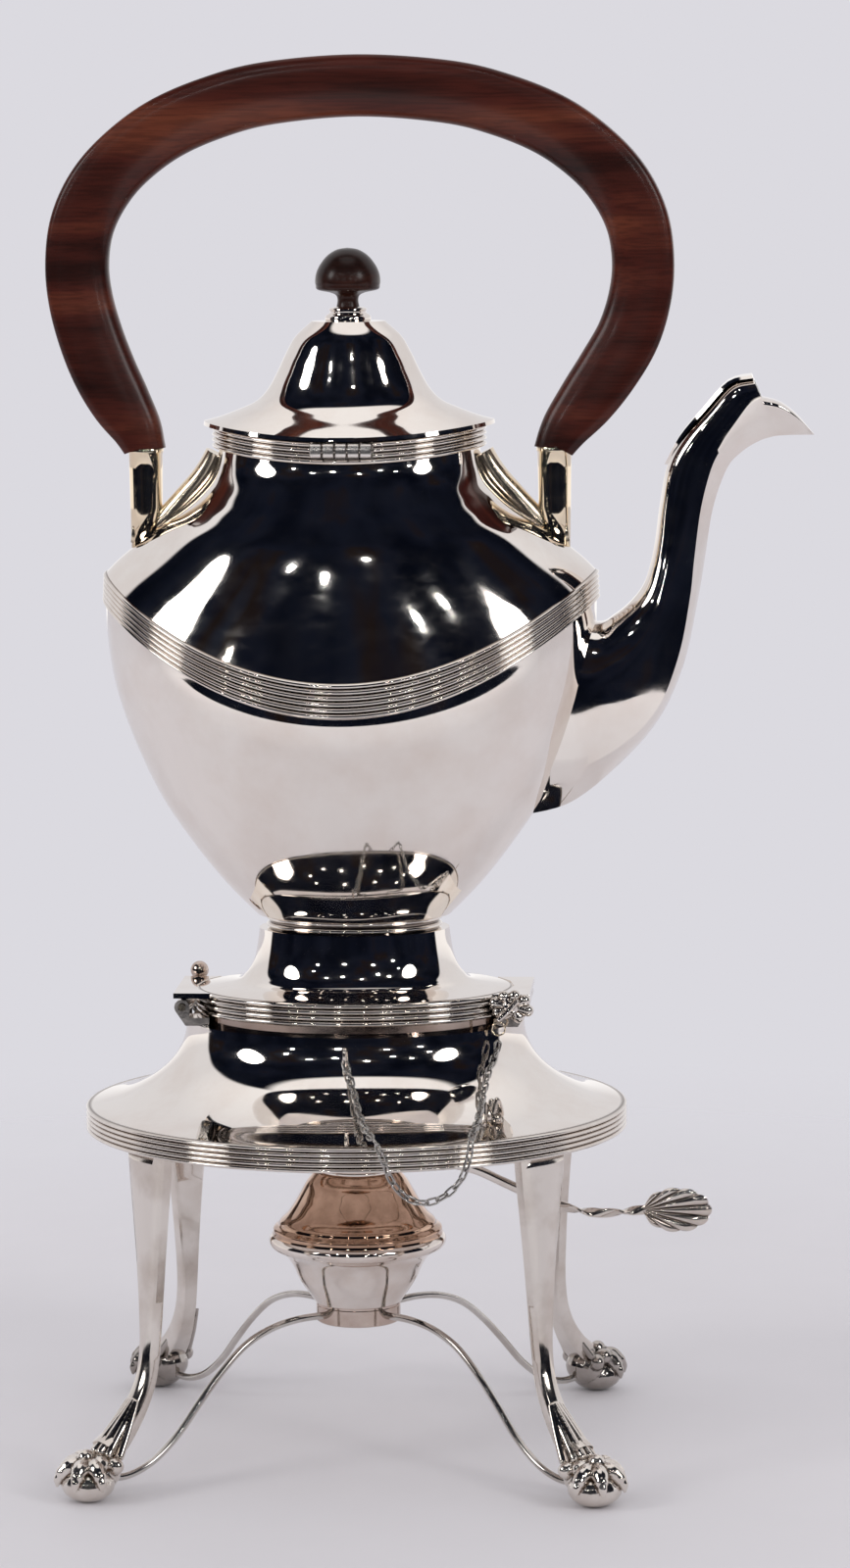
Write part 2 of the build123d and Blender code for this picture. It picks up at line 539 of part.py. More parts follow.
def under_plate():
    """The free space under the stand's plate, to trim the legs."""
    a, b = DOME_UNDER[0][:2]
    wide = 2 * PLATE_A
    floor = [(wide, wide, -1), (wide, wide, RIM_BOTTOM_Z), (a, b, RIM_BOTTOM_Z)]
    return skin(rows(floor + DOME_UNDER[:-1]))


def collar_rows():
    return [(COLLAR_A, COLLAR_B, STAND_TOP_Z), (COLLAR_A, COLLAR_B, FOOT_BOTTOM_Z)]


def stand_collar():
    return skin(rows(collar_rows() + inside(collar_rows(), COLLAR_THICK)[::-1]), ring=True)


def neck_block():
    """The stand's neck and collar, closed, to trim the hinge arms and staples."""
    return skin(rows(DOME_ROWS)) + skin(rows(collar_rows()))


def hinge_arms(side):
    """The stand's two knuckles of one hinge, on arms from its neck."""
    x = side * HINGE_X
    top = FOOT_BOTTOM_Z - SEAT
    inner, low = COLLAR_A - COLLAR_THICK - 1, STAND_TOP_Z
    outline = [(inner, low), (HINGE_X - 1.0, low), (HINGE_X + HINGE_R * 0.8, HINGE_Z - HINGE_R * 0.6),
               (HINGE_X, HINGE_Z), (COLLAR_A + 2, HINGE_Z), (COLLAR_A + 2, top), (inner, top)]
    arms = []
    for y in (-1, 1):
        near, far = y * (KETTLE_KNUCKLE_HALF + KNUCKLE_SPACE), y * HINGE_HALF
        y0, y1 = min(near, far), max(near, far)
        arm = slab([(side * px, pz) for px, pz in outline], y0, y1) - neck_block() - foot_block()
        arm = arm + bar((x, y0, HINGE_Z), (x, y1, HINGE_Z), HINGE_R)
        arms.append(arm - rod((x, y0, HINGE_Z), (x, y1, HINGE_Z), HINGE_PIN_R + RUNNING))
    return arms


DIAGONAL = 0.70711
# Each station along a paw: distance out from its middle, half width, underside, top.
PAW = [
    (-8.0, 3.2, 6.0, 15.6), (-5.5, 4.6, 1.2, 15.2), (-2.5, 5.4, 0.0, 13.8), (1.0, 6.1, 0.0, 11.6),
    (4.5, 6.5, 0.0, 9.4), (7.2, 6.2, 0.0, 6.6), (8.6, 5.2, 0.0, 3.4),
]
PAW_SECTION = ((0.8, 0.0), (1.0, 0.35), (0.82, 0.78), (0.3, 1.0))
PAW_HEEL_Z = 13.0
# Each station down a leg: share of the height, share of the sweep to the paw, breadth, thickness.
LEG = [
    (1.09, 0.0, 18.0, 4.6), (0.9, 0.0, 15.0, 4.5), (0.78, 0.0, 12.6, 4.4), (0.62, 0.0, 9.6, 4.3),
    (0.46, 0.01, 7.2, 4.2), (0.32, 0.04, 5.6, 4.2), (0.21, 0.14, 5.2, 4.6), (0.12, 0.37, 5.8, 5.2),
    (0.045, 0.70, 7.2, 6.0), (0.0, 1.0, 8.4, 6.6),
]


def leg_top():
    t = radians(LEG_TURN)
    inset = LEG[0][3] / 2
    a, b = DOME_UNDER[0][:2]
    return (a - inset) * cos(t), (b - inset) * sin(t)


def paw_middle(sy):
    return (PAW_X, PAW_Y) if sy < 0 else (PAW_X - BACK_INSET, PAW_Y)


def leg_path(sy):
    """Middle points of a leg: straight down under the plate, then swept out to the paw."""
    top_x, top_y = leg_top()
    heel_x, heel_y = [middle + PAW[1][0] * DIAGONAL for middle in paw_middle(sy)]
    height = RIM_BOTTOM_Z - PAW_HEEL_Z
    splay = 3.6
    path = []
    for up, sweep, _, _ in LEG:
        drop = max(0.0, 1 - up) * (1 - sweep)
        path.append((top_x + (heel_x - top_x) * sweep, top_y + splay * drop + (heel_y - top_y) * sweep,
                     PAW_HEEL_Z + height * up))
    return path


def leg_loops(sy):
    """A rectangular section at each station, square to the path."""
    path = leg_path(sy)
    loops = []
    for i, ((x, y, z), (_, _, breadth, thick)) in enumerate(zip(path, LEG)):
        above, below = path[max(i - 1, 0)], path[min(i + 1, len(path) - 1)]
        steep = atan2(hypot(below[0] - above[0], below[1] - above[1]), above[2] - below[2]) if i else 0.0
        out_x, out_z = thick / 2 * cos(steep) * DIAGONAL, thick / 2 * sin(steep)
        wide = breadth / 2 * DIAGONAL
        loops.append([(x + o * out_x - w * wide, y + o * out_x + w * wide, z + o * out_z)
                      for o, w in ((-1, -1), (1, -1), (1, 1), (-1, 1))])
    return loops


def paw_loops(sy):
    loops = []
    for s, half, low, high in PAW:
        x, y = [middle + s * DIAGONAL for middle in paw_middle(sy)]
        shape = list(PAW_SECTION) + [(-k, h) for k, h in PAW_SECTION[::-1]]
        loops.append([(x - half * k * DIAGONAL, y + half * k * DIAGONAL, low + (high - low) * h)
                      for k, h in shape])
    return loops


def corner(loops, sx, sy):
    return [[(sx * x, sy * y, z) for x, y, z in loop] for loop in loops]


def paw(sx, sy):
    return skin(corner(paw_loops(sy), sx, sy))


def leg(sx, sy):
    return skin(corner(leg_loops(sy), sx, sy)) & under_plate() - paw(sx, sy)


# Each station of a stretcher: share of the way from the burner ring to the paw, share of the ring's height.
STRETCHER = [
    (-0.02, 0.996), (0.12, 1.009), (0.25, 0.979), (0.37, 0.891), (0.48, 0.73), (0.58, 0.538), (0.68, 0.337),
    (0.79, 0.186), (0.9, 0.121), (1.0, 0.141), (1.06, 0.201),
]


def stretcher(sx, sy):
    """A round wire in a double curve from the burner ring to a paw's heel."""
    length = hypot(*paw_middle(sy))
    ux, uy = [middle / length for middle in paw_middle(sy)]
    heel = length + PAW[1][0]
    ring_z = BURNER_RING_BOTTOM_Z + BURNER_RING_HEIGHT / 2
    line = [(BURNER_RING_R + (heel - BURNER_RING_R) * out, ring_z * up) for out, up in STRETCHER]
    loops = []
    for i, (s, z) in enumerate(line):
        (s0, z0), (s1, z1) = line[max(i - 1, 0)], line[min(i + 1, len(line) - 1)]
        tilt = atan2(z1 - z0, s1 - s0)
        loop = []
        for k in range(6):
            side, up = WIRE_R * cos(pi * k / 3), WIRE_R * sin(pi * k / 3)
            out = s - up * sin(tilt)
            loop.append((ux * out - uy * side, uy * out + ux * side, z + up * cos(tilt)))
        loops.append(loop)
    ring = post(BURNER_RING_R, BURNER_RING_BOTTOM_Z, BURNER_RING_TOP_Z)
    return skin(corner(loops, sx, sy)) - paw(sx, sy) - ring


def tube(radius, wall, low, high):
    return skin(turned([(radius, low), (radius, high), (radius - wall, high), (radius - wall, low)]), ring=True)


def burner_ring():
    return tube(BURNER_RING_R, BURNER_RING_WALL, BURNER_RING_BOTTOM_Z, BURNER_RING_TOP_Z)


# ---- Burner and snuffer ----
def burner_bowl():
    neck = BURNER_RING_R - BURNER_RING_WALL - SEAT
    lip = BURNER_RING_R + 0.4
    shares = [(0.0, 0.0), (0.12, 0.13), (0.336, 0.367), (0.473, 0.589), (0.641, 0.767), (0.88, 0.89)]
    outer = [(lip + (BURNER_FLANGE_R - lip) * out, BURNER_RING_TOP_Z + BURNER_HEIGHT * up) for out, up in shares]
    r, half = BURNER_FLANGE_R, FLANGE_THICK / 2
    flange = [(r, FLANGE_Z - half * 0.5), (r, FLANGE_Z + half * 0.5), (r - 1.6, COVER_Z), (r - 3.4, COVER_Z)]
    inner = [(r0 - SILVER, z0 + SILVER * 0.4) for r0, z0 in outer[:0:-1]]
    inner[0] = (r - 4.0, FLANGE_Z - half)
    foot = [(neck - SILVER, BURNER_RING_BOTTOM_Z + 1.5), (neck, BURNER_RING_TOP_Z)]
    return skin(turned(foot + outer + flange + inner))


def burner_cover():
    shares = [(0.04, 0.0), (0.0, 0.04), (0.02, 0.1), (0.14, 0.15), (0.18, 0.215), (0.344, 0.32), (0.525, 0.495),
              (0.672, 0.667), (0.82, 0.84), (1.0, 0.985), (1.0, 1.0)]
    outer = [(COVER_R + (COVER_TOP_R - COVER_R) * out, COVER_Z + COVER_HEIGHT * up) for out, up in shares]
    inner = [(r - 1.4 * SILVER, z - SILVER * 0.4) for r, z in outer[-2:3:-1]]
    inner[0] = (inner[0][0], CAP_Z - SILVER)
    bore = [(WICK_TUBE_R, CAP_Z), (WICK_TUBE_R, CAP_Z - SILVER)]
    base = (outer[0][0] - 2 * SILVER, COVER_Z)
    return skin(turned(outer + bore + inner + [base]), ring=True)


def wick_tube():
    return tube(WICK_TUBE_R, WICK_TUBE_WALL, CAP_Z - COVER_HEIGHT / 2, WICK_TUBE_TOP_Z)


def wick():
    top = WICK_TUBE_TOP_Z + WICK_RISE
    return post(WICK_TUBE_R - WICK_TUBE_WALL, top - WICK_LENGTH, top)


def snuffer_cap():
    r, z, h = CAP_R, CAP_Z, CAP_HEIGHT
    outer = [(4.5, z + h), (r - 1.6, z + h * 0.83), (r, z + h * 0.6), (r, z + 1.6), (r + 0.3, z + 0.8), (r, z)]
    inner = [(r - SILVER, z), (r - SILVER, z + h * 0.55), (r - 2.4, z + h * 0.75), (4.0, z + h - SILVER)]
    return skin(turned(outer + inner))


# Each station of the snuffer's strip: share of the way out, share of the drop, turn about its line in degrees.
STRIP = [
    (-0.02, 0.0, 0), (0.21, 0.12, 0), (0.325, 0.25, 0), (0.43, 0.48, 0), (0.54, 0.72, 0), (0.65, 0.91, 0),
    (0.7, 0.99, 30), (0.745, 1.03, 90), (0.785, 1.06, 150), (0.825, 1.07, 180), (0.87, 1.06, 210),
    (0.915, 1.04, 270), (0.955, 1.02, 330), (1.0, 1.0, 360),
]


def snuffer_handle():
    start_z = CAP_Z + CAP_HEIGHT * 0.4
    line = [(CAP_R + (LEAF_X - CAP_R) * out, start_z + (LEAF_Z - start_z) * down) for out, down, _ in STRIP]
    loops = []
    for i, (x, z) in enumerate(line):
        (x0, z0), (x1, z1) = line[max(i - 1, 0)], line[min(i + 1, len(line) - 1)]
        tilt, turn = atan2(z1 - z0, x1 - x0), radians(STRIP[i][2])
        loop = []
        for u, v in ((-1, -1), (1, -1), (1, 1), (-1, 1)):
            side = u * STRIP_THICK / 2 * cos(turn) - v * STRIP_WIDTH / 2 * sin(turn)
            up = u * STRIP_THICK / 2 * sin(turn) + v * STRIP_WIDTH / 2 * cos(turn)
            loop.append((x - up * sin(tilt), side, z + up * cos(tilt)))
        loops.append(loop)
    return skin(loops) - post(CAP_R, CAP_Z, CAP_Z + CAP_HEIGHT) - snuffer_leaf()


def lobed(length, half, lobes, points):
    """Outline of a lobed leaf or shell from its root at (0, 0) to its tip at (length, 0)."""
    outline = []
    for i in range(points):
        t = -pi + 2 * pi * (i + 0.5) / points
        reach = 0.86 + 0.14 * abs(cos(lobes * t / 2))
        outline.append((length / 2 + length / 2 * reach * cos(t), half * reach * sin(t)))
    return outline


def snuffer_leaf():
    outline = [(LEAF_X - 1 + x, LEAF_Z + z) for x, z in lobed(LEAF_LENGTH, LEAF_HALF, 8, 32)]
    return slab(outline, -LEAF_THICK / 2, LEAF_THICK / 2)


# ---- Hinge pins, their rings and the chains ----
HEAD_Y = -(HINGE_HALF + SEAT)
EYE = (HINGE_X - 6.1, HEAD_Y - 5.6, HINGE_Z - 4.3)
STAPLE = (0.0, -(STAND_TOP_B + 2.2), STAND_TOP_Z - 3.0)


def turned_back(shape, side):
    """The back hinge pin and chain are the front ones turned half round."""
    return shape if side > 0 else Rot(0, 0, 180) * shape


def hinge_pin(side):
    """The right pin goes in from the front, and the left pin from the back."""
    pin = rod((HINGE_X, HEAD_Y, HINGE_Z), (HINGE_X, HINGE_HALF + PIN_TAIL, HINGE_Z), HINGE_PIN_R)
    return turned_back(pin, side)


def eye_arm():
    """The arm from a pin's head out and down to its ring."""
    x, y, z = EYE
    reach = block(x - 0.7, HINGE_X, y - 0.6, HEAD_Y - 1.2, HINGE_Z - 1.9, HINGE_Z - 0.5)
    drop = block(x - 0.7, x + 0.7, y - 0.6, y + 0.6, z + EYE_R - EYE_WIRE, HINGE_Z - 0.5)
    return reach + drop


def shell_head():
    """A cast shell with a boss, on the right pin's front end."""
    outline = [(HINGE_X - SHELL_INSET + x, HINGE_Z + 0.6 + z)
               for x, z in lobed(2 * SHELL_HEAD, SHELL_HEAD * 0.82, 7, 24)]
    shell = slab(outline, HEAD_Y - 2.4, HEAD_Y)
    x = HINGE_X - 2.6
    return shell + bar((x, HEAD_Y - 2.4, HINGE_Z), (x, HEAD_Y - 4.4, HINGE_Z), 2.4) + eye_arm()


def ball_head():
    ball = bar((HINGE_X, HEAD_Y, HINGE_Z), (HINGE_X, HEAD_Y - 3.0, HINGE_Z), BALL_HEAD_R)
    return turned_back(ball + eye_arm(), -1)


def wire_ring(centre, radius, wire, turn=0.0, sides=10):
    """A ring of square wire in a vertical plane, turned about Z."""
    t0 = radians(turn)
    loops = []
    for i in range(sides):
        t = 2 * pi * i / sides
        loop = []
        for u, v in ((-1, -1), (1, -1), (1, 1), (-1, 1)):
            r, w = radius + (u - 1) * wire / 2, v * wire / 2
            loop.append((centre[0] + r * cos(t) * cos(t0) - w * sin(t0),
                         centre[1] + r * cos(t) * sin(t0) + w * cos(t0), centre[2] + r * sin(t)))
        loops.append(loop)
    return skin(loops, ring=True)


def pin_ring(side):
    x, y, z = EYE
    return turned_back(wire_ring((x, y, z - EYE_WIRE), EYE_R - EYE_WIRE, EYE_WIRE), side)


def chain_anchor(side):
    """A staple on the stand's neck that its chain hangs from."""
    return turned_back(wire_ring(STAPLE, STAPLE_R, STAPLE_WIRE, 90.0) - neck_block(), side)


# The hanging line of the front chain, from the right pin's ring to the staple: shares of the hinge's distance out,
# of the plate's half width, and of the neck's height above the plate.
CHAIN_ROUTE = [
    (0.874, -0.303, 0.868), (0.858, -0.357, 0.744), (0.829, -0.443, 0.612), (0.808, -0.571, 0.421), (0.796, -0.729, 0.248),
    (0.784, -0.857, 0.165), (0.767, -0.934, 0.099), (0.755, -0.966, -0.116), (0.709, -0.977, -0.364), (0.619, -0.991, -0.545),
    (0.507, -1.006, -0.62), (0.4, -1.02, -0.545), (0.322, -1.031, -0.355), (0.272, -1.037, -0.099), (0.227, -1.023, 0.091),
    (0.173, -0.943, 0.149), (0.115, -0.8, 0.264), (0.07, -0.671, 0.43), (0.029, -0.58, 0.62), (0, -0.546, 0.752),
]


def link(length, width, wire):
    """A flat link of three-sided wire, lying in the XY plane along X."""
    loops = []
    for x, y in ((-1, -1), (1, -1), (1, 1), (-1, 1)):
        section = ((0.0, 0.0), (-wire, -wire / 2), (-wire, wire / 2))
        loops.append([(x * (length / 2 + out), y * (width / 2 + out), up) for out, up in section])
    return skin(loops, ring=True)


def chain(side):
    """Separate links, each turned a quarter against the last, along the hanging line."""
    line = Spline(*[Vector(HINGE_X * x, PLATE_B * y, RIM_TOP_Z + STAND_NECK_HEIGHT * z) for x, y, z in CHAIN_ROUTE])
    pitch = LINK_LENGTH - 2 * LINK_WIRE - LINK_PLAY
    count = int(line.length / pitch)
    shape = link(LINK_LENGTH, LINK_WIDTH, LINK_WIRE)
    links = []
    for i in range(count):
        share = (i + 0.5) / count
        at, run = line.position_at(share), line.tangent_at(share)
        sideways = Vector(0, 0, 1) if abs(run.Z) < 0.9 else Vector(0, 1, 0)
        place = Plane(origin=at, x_dir=run, z_dir=run.cross(sideways))
        links.append(turned_back(place.location * Rot(45 + 90 * (i % 2), 0, 0) * shape, side))
    return links


# ---- Write every node ----
CORNERS = {"fl": (-1, -1), "fr": (1, -1), "bl": (-1, 1), "br": (1, 1)}


def kettle_nodes():
    return {
        "bowl": bowl(), "shoulder_band": shoulder_band(), "shoulder": shoulder(), "mouth_rim": mouth_rim(),
        "spout": spout(), "spout_hood": spout_hood(), "neck_collar": neck_collar(),
        "kettle_foot": kettle_foot(), "foot_rim": foot_rim(), "foot_lug_left": kettle_lug(-1),
        "foot_lug_right": kettle_lug(1), "handle_socket_left": handle_socket(-1),
        "handle_socket_right": handle_socket(1), "handle_grip": handle_grip(), "rim_knuckles": rim_knuckles(),
        "lid_hinge_pin": lid_hinge_pin(), "lid": lid(), "lid_bezel": lid_bezel(), "lid_knuckles": lid_knuckles(),
        "knob_collar": knob_collar(), "knob": knob(), "knob_screw": knob_screw(), "knob_nut": knob_nut(),
    }


def stand_nodes():
    parts = {
        "stand_dome": stand_dome(), "stand_rim": stand_rim(), "stand_collar": stand_collar(),
        "hinge_arms_left": hinge_arms(-1), "hinge_arms_right": hinge_arms(1), "burner_ring": burner_ring(),
        "chain_anchor_front": chain_anchor(1), "chain_anchor_back": chain_anchor(-1),
        "chain_front": chain(1), "chain_back": chain(-1), "right_pin": hinge_pin(1),
        "right_pin_head": shell_head(), "right_pin_ring": pin_ring(1), "left_pin": hinge_pin(-1),
        "left_pin_head": ball_head(), "left_pin_ring": pin_ring(-1),
    }
    for name, (sx, sy) in CORNERS.items():
        parts["leg_" + name] = leg(sx, sy)
        parts["paw_" + name] = paw(sx, sy)
        parts["stretcher_" + name] = stretcher(sx, sy)
    return parts


def burner_nodes():
    return {
        "burner_bowl": burner_bowl(), "burner_cover": burner_cover(), "wick_tube": wick_tube(), "wick": wick(),
        "snuffer_cap": snuffer_cap(), "snuffer_handle": snuffer_handle(), "snuffer_leaf": snuffer_leaf(),
    }


def main():
    os.makedirs("parts", exist_ok=True)
    for name, shape in {**kettle_nodes(), **stand_nodes(), **burner_nodes()}.items():
        if isinstance(shape, list):
            shape = Compound(children=[solid for part in shape for solid in part.solids()])
        export_step(shape, f"parts/{name}.step")


main()
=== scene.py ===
import bpy
import bmesh
import json
from math import atan2, cos, hypot, pi, radians, sin
from mathutils import Matrix, Vector

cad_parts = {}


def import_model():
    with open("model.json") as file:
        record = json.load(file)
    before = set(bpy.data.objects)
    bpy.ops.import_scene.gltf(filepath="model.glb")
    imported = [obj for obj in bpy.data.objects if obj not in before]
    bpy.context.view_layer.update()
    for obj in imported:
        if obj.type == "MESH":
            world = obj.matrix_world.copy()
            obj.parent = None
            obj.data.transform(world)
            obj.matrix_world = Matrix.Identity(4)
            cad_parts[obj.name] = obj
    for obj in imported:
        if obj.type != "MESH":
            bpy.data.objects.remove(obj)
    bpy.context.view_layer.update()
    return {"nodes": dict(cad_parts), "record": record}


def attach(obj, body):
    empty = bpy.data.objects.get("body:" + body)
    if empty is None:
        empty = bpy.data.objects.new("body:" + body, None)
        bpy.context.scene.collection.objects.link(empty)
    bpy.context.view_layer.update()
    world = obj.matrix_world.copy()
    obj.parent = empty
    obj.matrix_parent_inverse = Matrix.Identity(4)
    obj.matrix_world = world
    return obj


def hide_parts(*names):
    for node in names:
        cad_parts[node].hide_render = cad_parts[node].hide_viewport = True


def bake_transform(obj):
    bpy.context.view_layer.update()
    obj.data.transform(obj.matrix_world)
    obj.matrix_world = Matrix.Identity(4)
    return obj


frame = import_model()

# Lengths are in millimetres up to the mesh helpers, which turn them into Blender's metres.
MM = 0.001
UP = Vector((0, 0, 1))

# ---- Sizes, most of them as in the CAD model ----
ROUND = 160                 # points round an oval
TURN = 64                   # points round a small turned piece
SILVER = 1.0
SEAT = 0.3
RIM_BOTTOM_Z, RIM_TOP_Z = 94.2, 101.4
PLATE_A, PLATE_B, PLATE_EDGE, FOOT_EDGE = 78.0, 70.0, 1.8, 1.2
STAND_TOP_A, STAND_TOP_B, STAND_TOP_Z = 48.6, 34.0, 125.6
COLLAR_A, COLLAR_B, COLLAR_THICK = 44.3, 30.9, 2.6
FOOT_A, FOOT_B, FOOT_BOTTOM_Z, FOOT_TOP_Z = 45.8, 32.2, 128.2, 135.0
FOOT_NECK_A, FOOT_NECK_B, NECK_Z, NECK_WALL = 27.3, 19.2, 152.2, 2
NECK_A, NECK_B, NECK_HEIGHT, BEAD = 24.2, 16.8, 4.0, 1.1
BODY_BASE_A, BODY_BASE_B, BODY_BASE_Z = 27.8, 19.2, 156.2
BODY_A, BODY_B, BAND_END_Z, BAND_FRONT_Z = 70.0, 48.3, 246.8, 217.6
BAND_END_HEIGHT, BAND_FRONT_HEIGHT, BAND_LEAN = 8.2, 10.1, 0.4
MOUTH_A, MOUTH_B, MOUTH_END_Z, MOUTH_FRONT_Z = 37.0, 25.9, 290.1, 286.7
MOUTH_RIM_HEIGHT, MOUTH_RIM_OUT = 6.2, 2.0
REED_DEPTH, REED_STEPS = 1.0, 8
SHOULDER_REEDS, MOUTH_REEDS, FOOT_REEDS, PLATE_REEDS = 6, 4, 4, 5
LID_BRIM_A, LID_BRIM_B, LID_TOP_A, LID_TOP_B, LID_HEIGHT = 41.4, 28.6, 10.4, 8.6, 29.0
BEZEL_DEPTH, BEZEL_GAP = 5.0, 0.6
KNOB_R, KNOB_HEIGHT, KNOB_COLLAR_R, KNOB_COLLAR_HEIGHT = 9.25, 16.5, 6.5, 4.1
SOCKET_X, SOCKET_TOP_Z, SOCKET_BORE, SOCKET_LENGTH = 58.2, 290.0, 17.0, 32.0
SOCKET_TOP_R, SOCKET_WAIST_R, SOCKET_FOOT_R, TENON_R = 5.1, 4.7, 4.4, 4.0
HANDLE_RISE, HANDLE_DEPTH, HANDLE_WIDTH, GRIP_END, GRIP_BOW = 101.6, 17.8, 13.2, 11.4, 3.4
HINGE_X, HINGE_Z, HINGE_HALF = 48.5, 131.0, 15.0
SPOUT_REACH = 61.6
RING_R, RING_WALL, RING_LOW_Z, RING_TOP_Z = 12.2, 1.2, 36.9, 42.6
BURNER_FLANGE_R, BURNER_HEIGHT, FLANGE_THICK = 25.7, 18.0, 3.6
COVER_R, COVER_TOP_R, COVER_HEIGHT = 24.6, 12.4, 18.4
WICK_TUBE_R, WICK_TUBE_WALL, WICK_TUBE_RISE, WICK_RISE = 7.0, 1.0, 6.9, 0.9
CAP_R, CAP_HEIGHT = 11.4, 9.8
LEAF_X, LEAF_Z, LEAF_LENGTH, LEAF_HALF = 83.4, 69.6, 20.0, 6.6
PAW_X, PAW_Y, PAW_HEEL_Z, HEEL_BACK, BACK_INSET = 70.5, 65.5, 13.0, 5.5, 4.4
WIRE_R = 1.05
DIAGONAL = 0.70711

RIM_END_Z, RIM_FRONT_Z = MOUTH_END_Z + MOUTH_RIM_HEIGHT, MOUTH_FRONT_Z + MOUTH_RIM_HEIGHT
LID_END_Z, LID_FRONT_Z = RIM_END_Z + SEAT, RIM_FRONT_Z + SEAT
LID_CROWN_Z = LID_END_Z + LID_HEIGHT
KNOB_Z = LID_CROWN_Z + KNOB_COLLAR_HEIGHT
FLANGE_Z = RING_TOP_Z + BURNER_HEIGHT
COVER_Z = FLANGE_Z + FLANGE_THICK / 2
CAP_Z = COVER_Z + COVER_HEIGHT
WICK_TUBE_TOP_Z = CAP_Z + WICK_TUBE_RISE
LID_AXIS_Y, LID_AXIS_Z = -28.8, 290.7
LID_HINGE_HALF, NOTCH_Y, NOTCH_DROP = 8.85, -26.2, 2.35
CORNERS = {"fl": (-1, -1), "fr": (1, -1), "bl": (-1, 1), "br": (1, 1)}


# ---- Materials ----
def put(tree, socket, value):
    """Joins an output to an input, or sets the input to a number, a vector or a colour."""
    if hasattr(value, "is_linked"):
        tree.links.new(value, socket)
    else:
        socket.default_value = (*value, 1) if socket.type == "RGBA" else value


def put_all(tree, node, values):
    for key, value in values.items():
        put(tree, node.inputs[key.replace("_", " ")], value)
    return node


def add(tree, kind, **values):
    """A node with its named properties and inputs set."""
    node = tree.nodes.new(kind)
    for key in [key for key in values if hasattr(node, key)]:
        setattr(node, key, values.pop(key))
    return put_all(tree, node, values)


def node_material(name, **values):
    material = bpy.data.materials.new(name)
    material.use_nodes = True
    tree = material.node_tree
    return material, tree, put_all(tree, tree.nodes["Principled BSDF"], values)


def noise(tree, scale, detail, roughness, stretch=(1, 1, 1)):
    """Noise in the object's own space, in metres."""
    place = add(tree, "ShaderNodeTexCoord").outputs["Object"]
    mapping = add(tree, "ShaderNodeMapping", Vector=place, Scale=[scale * s for s in stretch])
    return add(tree, "ShaderNodeTexNoise", Vector=mapping.outputs["Vector"], Scale=1, Detail=detail,
               Roughness=roughness).outputs["Fac"]


def ramp(tree, fac, *stops):
    node = add(tree, "ShaderNodeValToRGB", Fac=fac)
    elements = node.color_ramp.elements
    while len(elements) < len(stops):
        elements.new(0.5)
    for element, (place, colour) in zip(elements, stops):
        element.position = place
        element.color = (*(colour if hasattr(colour, "__len__") else [colour] * 3), 1)
    return node.outputs["Color"]


MIX_INPUTS, MIX_OUTPUT = (0, 6, 7), 2       # the factor and the colour sockets of a mix node


def mix(tree, fac, a, b, blend="MIX"):
    node = add(tree, "ShaderNodeMix", data_type="RGBA", blend_type=blend)
    for i, value in zip(MIX_INPUTS, (fac, a, b)):
        put(tree, node.inputs[i], value)
    return node.outputs[MIX_OUTPUT]


def bump(tree, shader, height, strength, distance):
    """Adds a bump on top of those that the shader already has."""
    node = add(tree, "ShaderNodeBump", Strength=strength, Distance=distance, Height=height)
    normal = shader.inputs["Normal"]
    for link in normal.links:
        put(tree, node.inputs["Normal"], link.from_socket)
    put(tree, normal, node.outputs["Normal"])


def metal(name, colour, tarnish_and_shade, tarnished=0.35, gloss=(0.025, 0.09), dents=0.09):
    """Old polished silver: fine wipe marks, shallow hand-raised dents, and a tarnished tone with painted
    shade in the grooves.
    """
    material, tree, shader = node_material(name, Metallic=1)
    cloud = ramp(tree, noise(tree, 55, 5, 0.6), (0.42, 0), (0.75, 1))
    patchy = mix(tree, cloud, colour, [c + (t - c) * tarnished for c, t in zip(colour, tarnish_and_shade)])
    # Painted shade: a stored value per point darkens the colour towards a deep tarnished brown in grooves and
    # hollows
    groove = add(tree, "ShaderNodeAttribute", attribute_name="groove").outputs["Fac"]
    wipes = noise(tree, 260, 5, 0.65, (0.5, 0.5, 1))
    put_all(tree, shader, {"Base Color": mix(tree, groove, patchy, [t * 0.35 for t in tarnish_and_shade]),
                           "Roughness": ramp(tree, wipes, (0.35, gloss[0]), (0.8, gloss[1]))})
    bump(tree, shader, noise(tree, 38, 2, 0.4), dents, 0.0006)
    bump(tree, shader, noise(tree, 2600, 2, 0.5, (0.1, 0.1, 1)), 0.01, 0.00005)
    return material


def rosewood(name, dark, middle, light):
    """Polished wood with soft long streaks along X."""
    material, tree, shader = node_material(name, Roughness=0.3, Specular_IOR_Level=0.22, Coat_Weight=0.12,
                                           Coat_Roughness=0.14)
    bands = noise(tree, 95, 4, 0.5, (0.12, 0.6, 1))
    colour = ramp(tree, bands, (0.3, dark), (0.52, middle), (0.74, light))
    pores = ramp(tree, noise(tree, 1500, 2, 0.5, (0.05, 0.6, 1)), (0.4, 0.62), (0.55, 1))
    put(tree, shader.inputs["Base Color"], mix(tree, 0.7, colour, pores, "MULTIPLY"))
    bump(tree, shader, bands, 0.05, 0.0002)
    return material


def cotton():
    material, tree, shader = node_material("wick_cotton", Roughness=0.95, Sheen_Weight=0.3)
    strands = noise(tree, 1400, 3, 0.6, (1, 1, 0.3))
    colour = ramp(tree, strands, (0.3, (0.32, 0.27, 0.2)), (0.7, (0.74, 0.69, 0.58)))
    put(tree, shader.inputs["Base Color"], colour)
    bump(tree, shader, strands, 0.5, 0.0004)
    return material


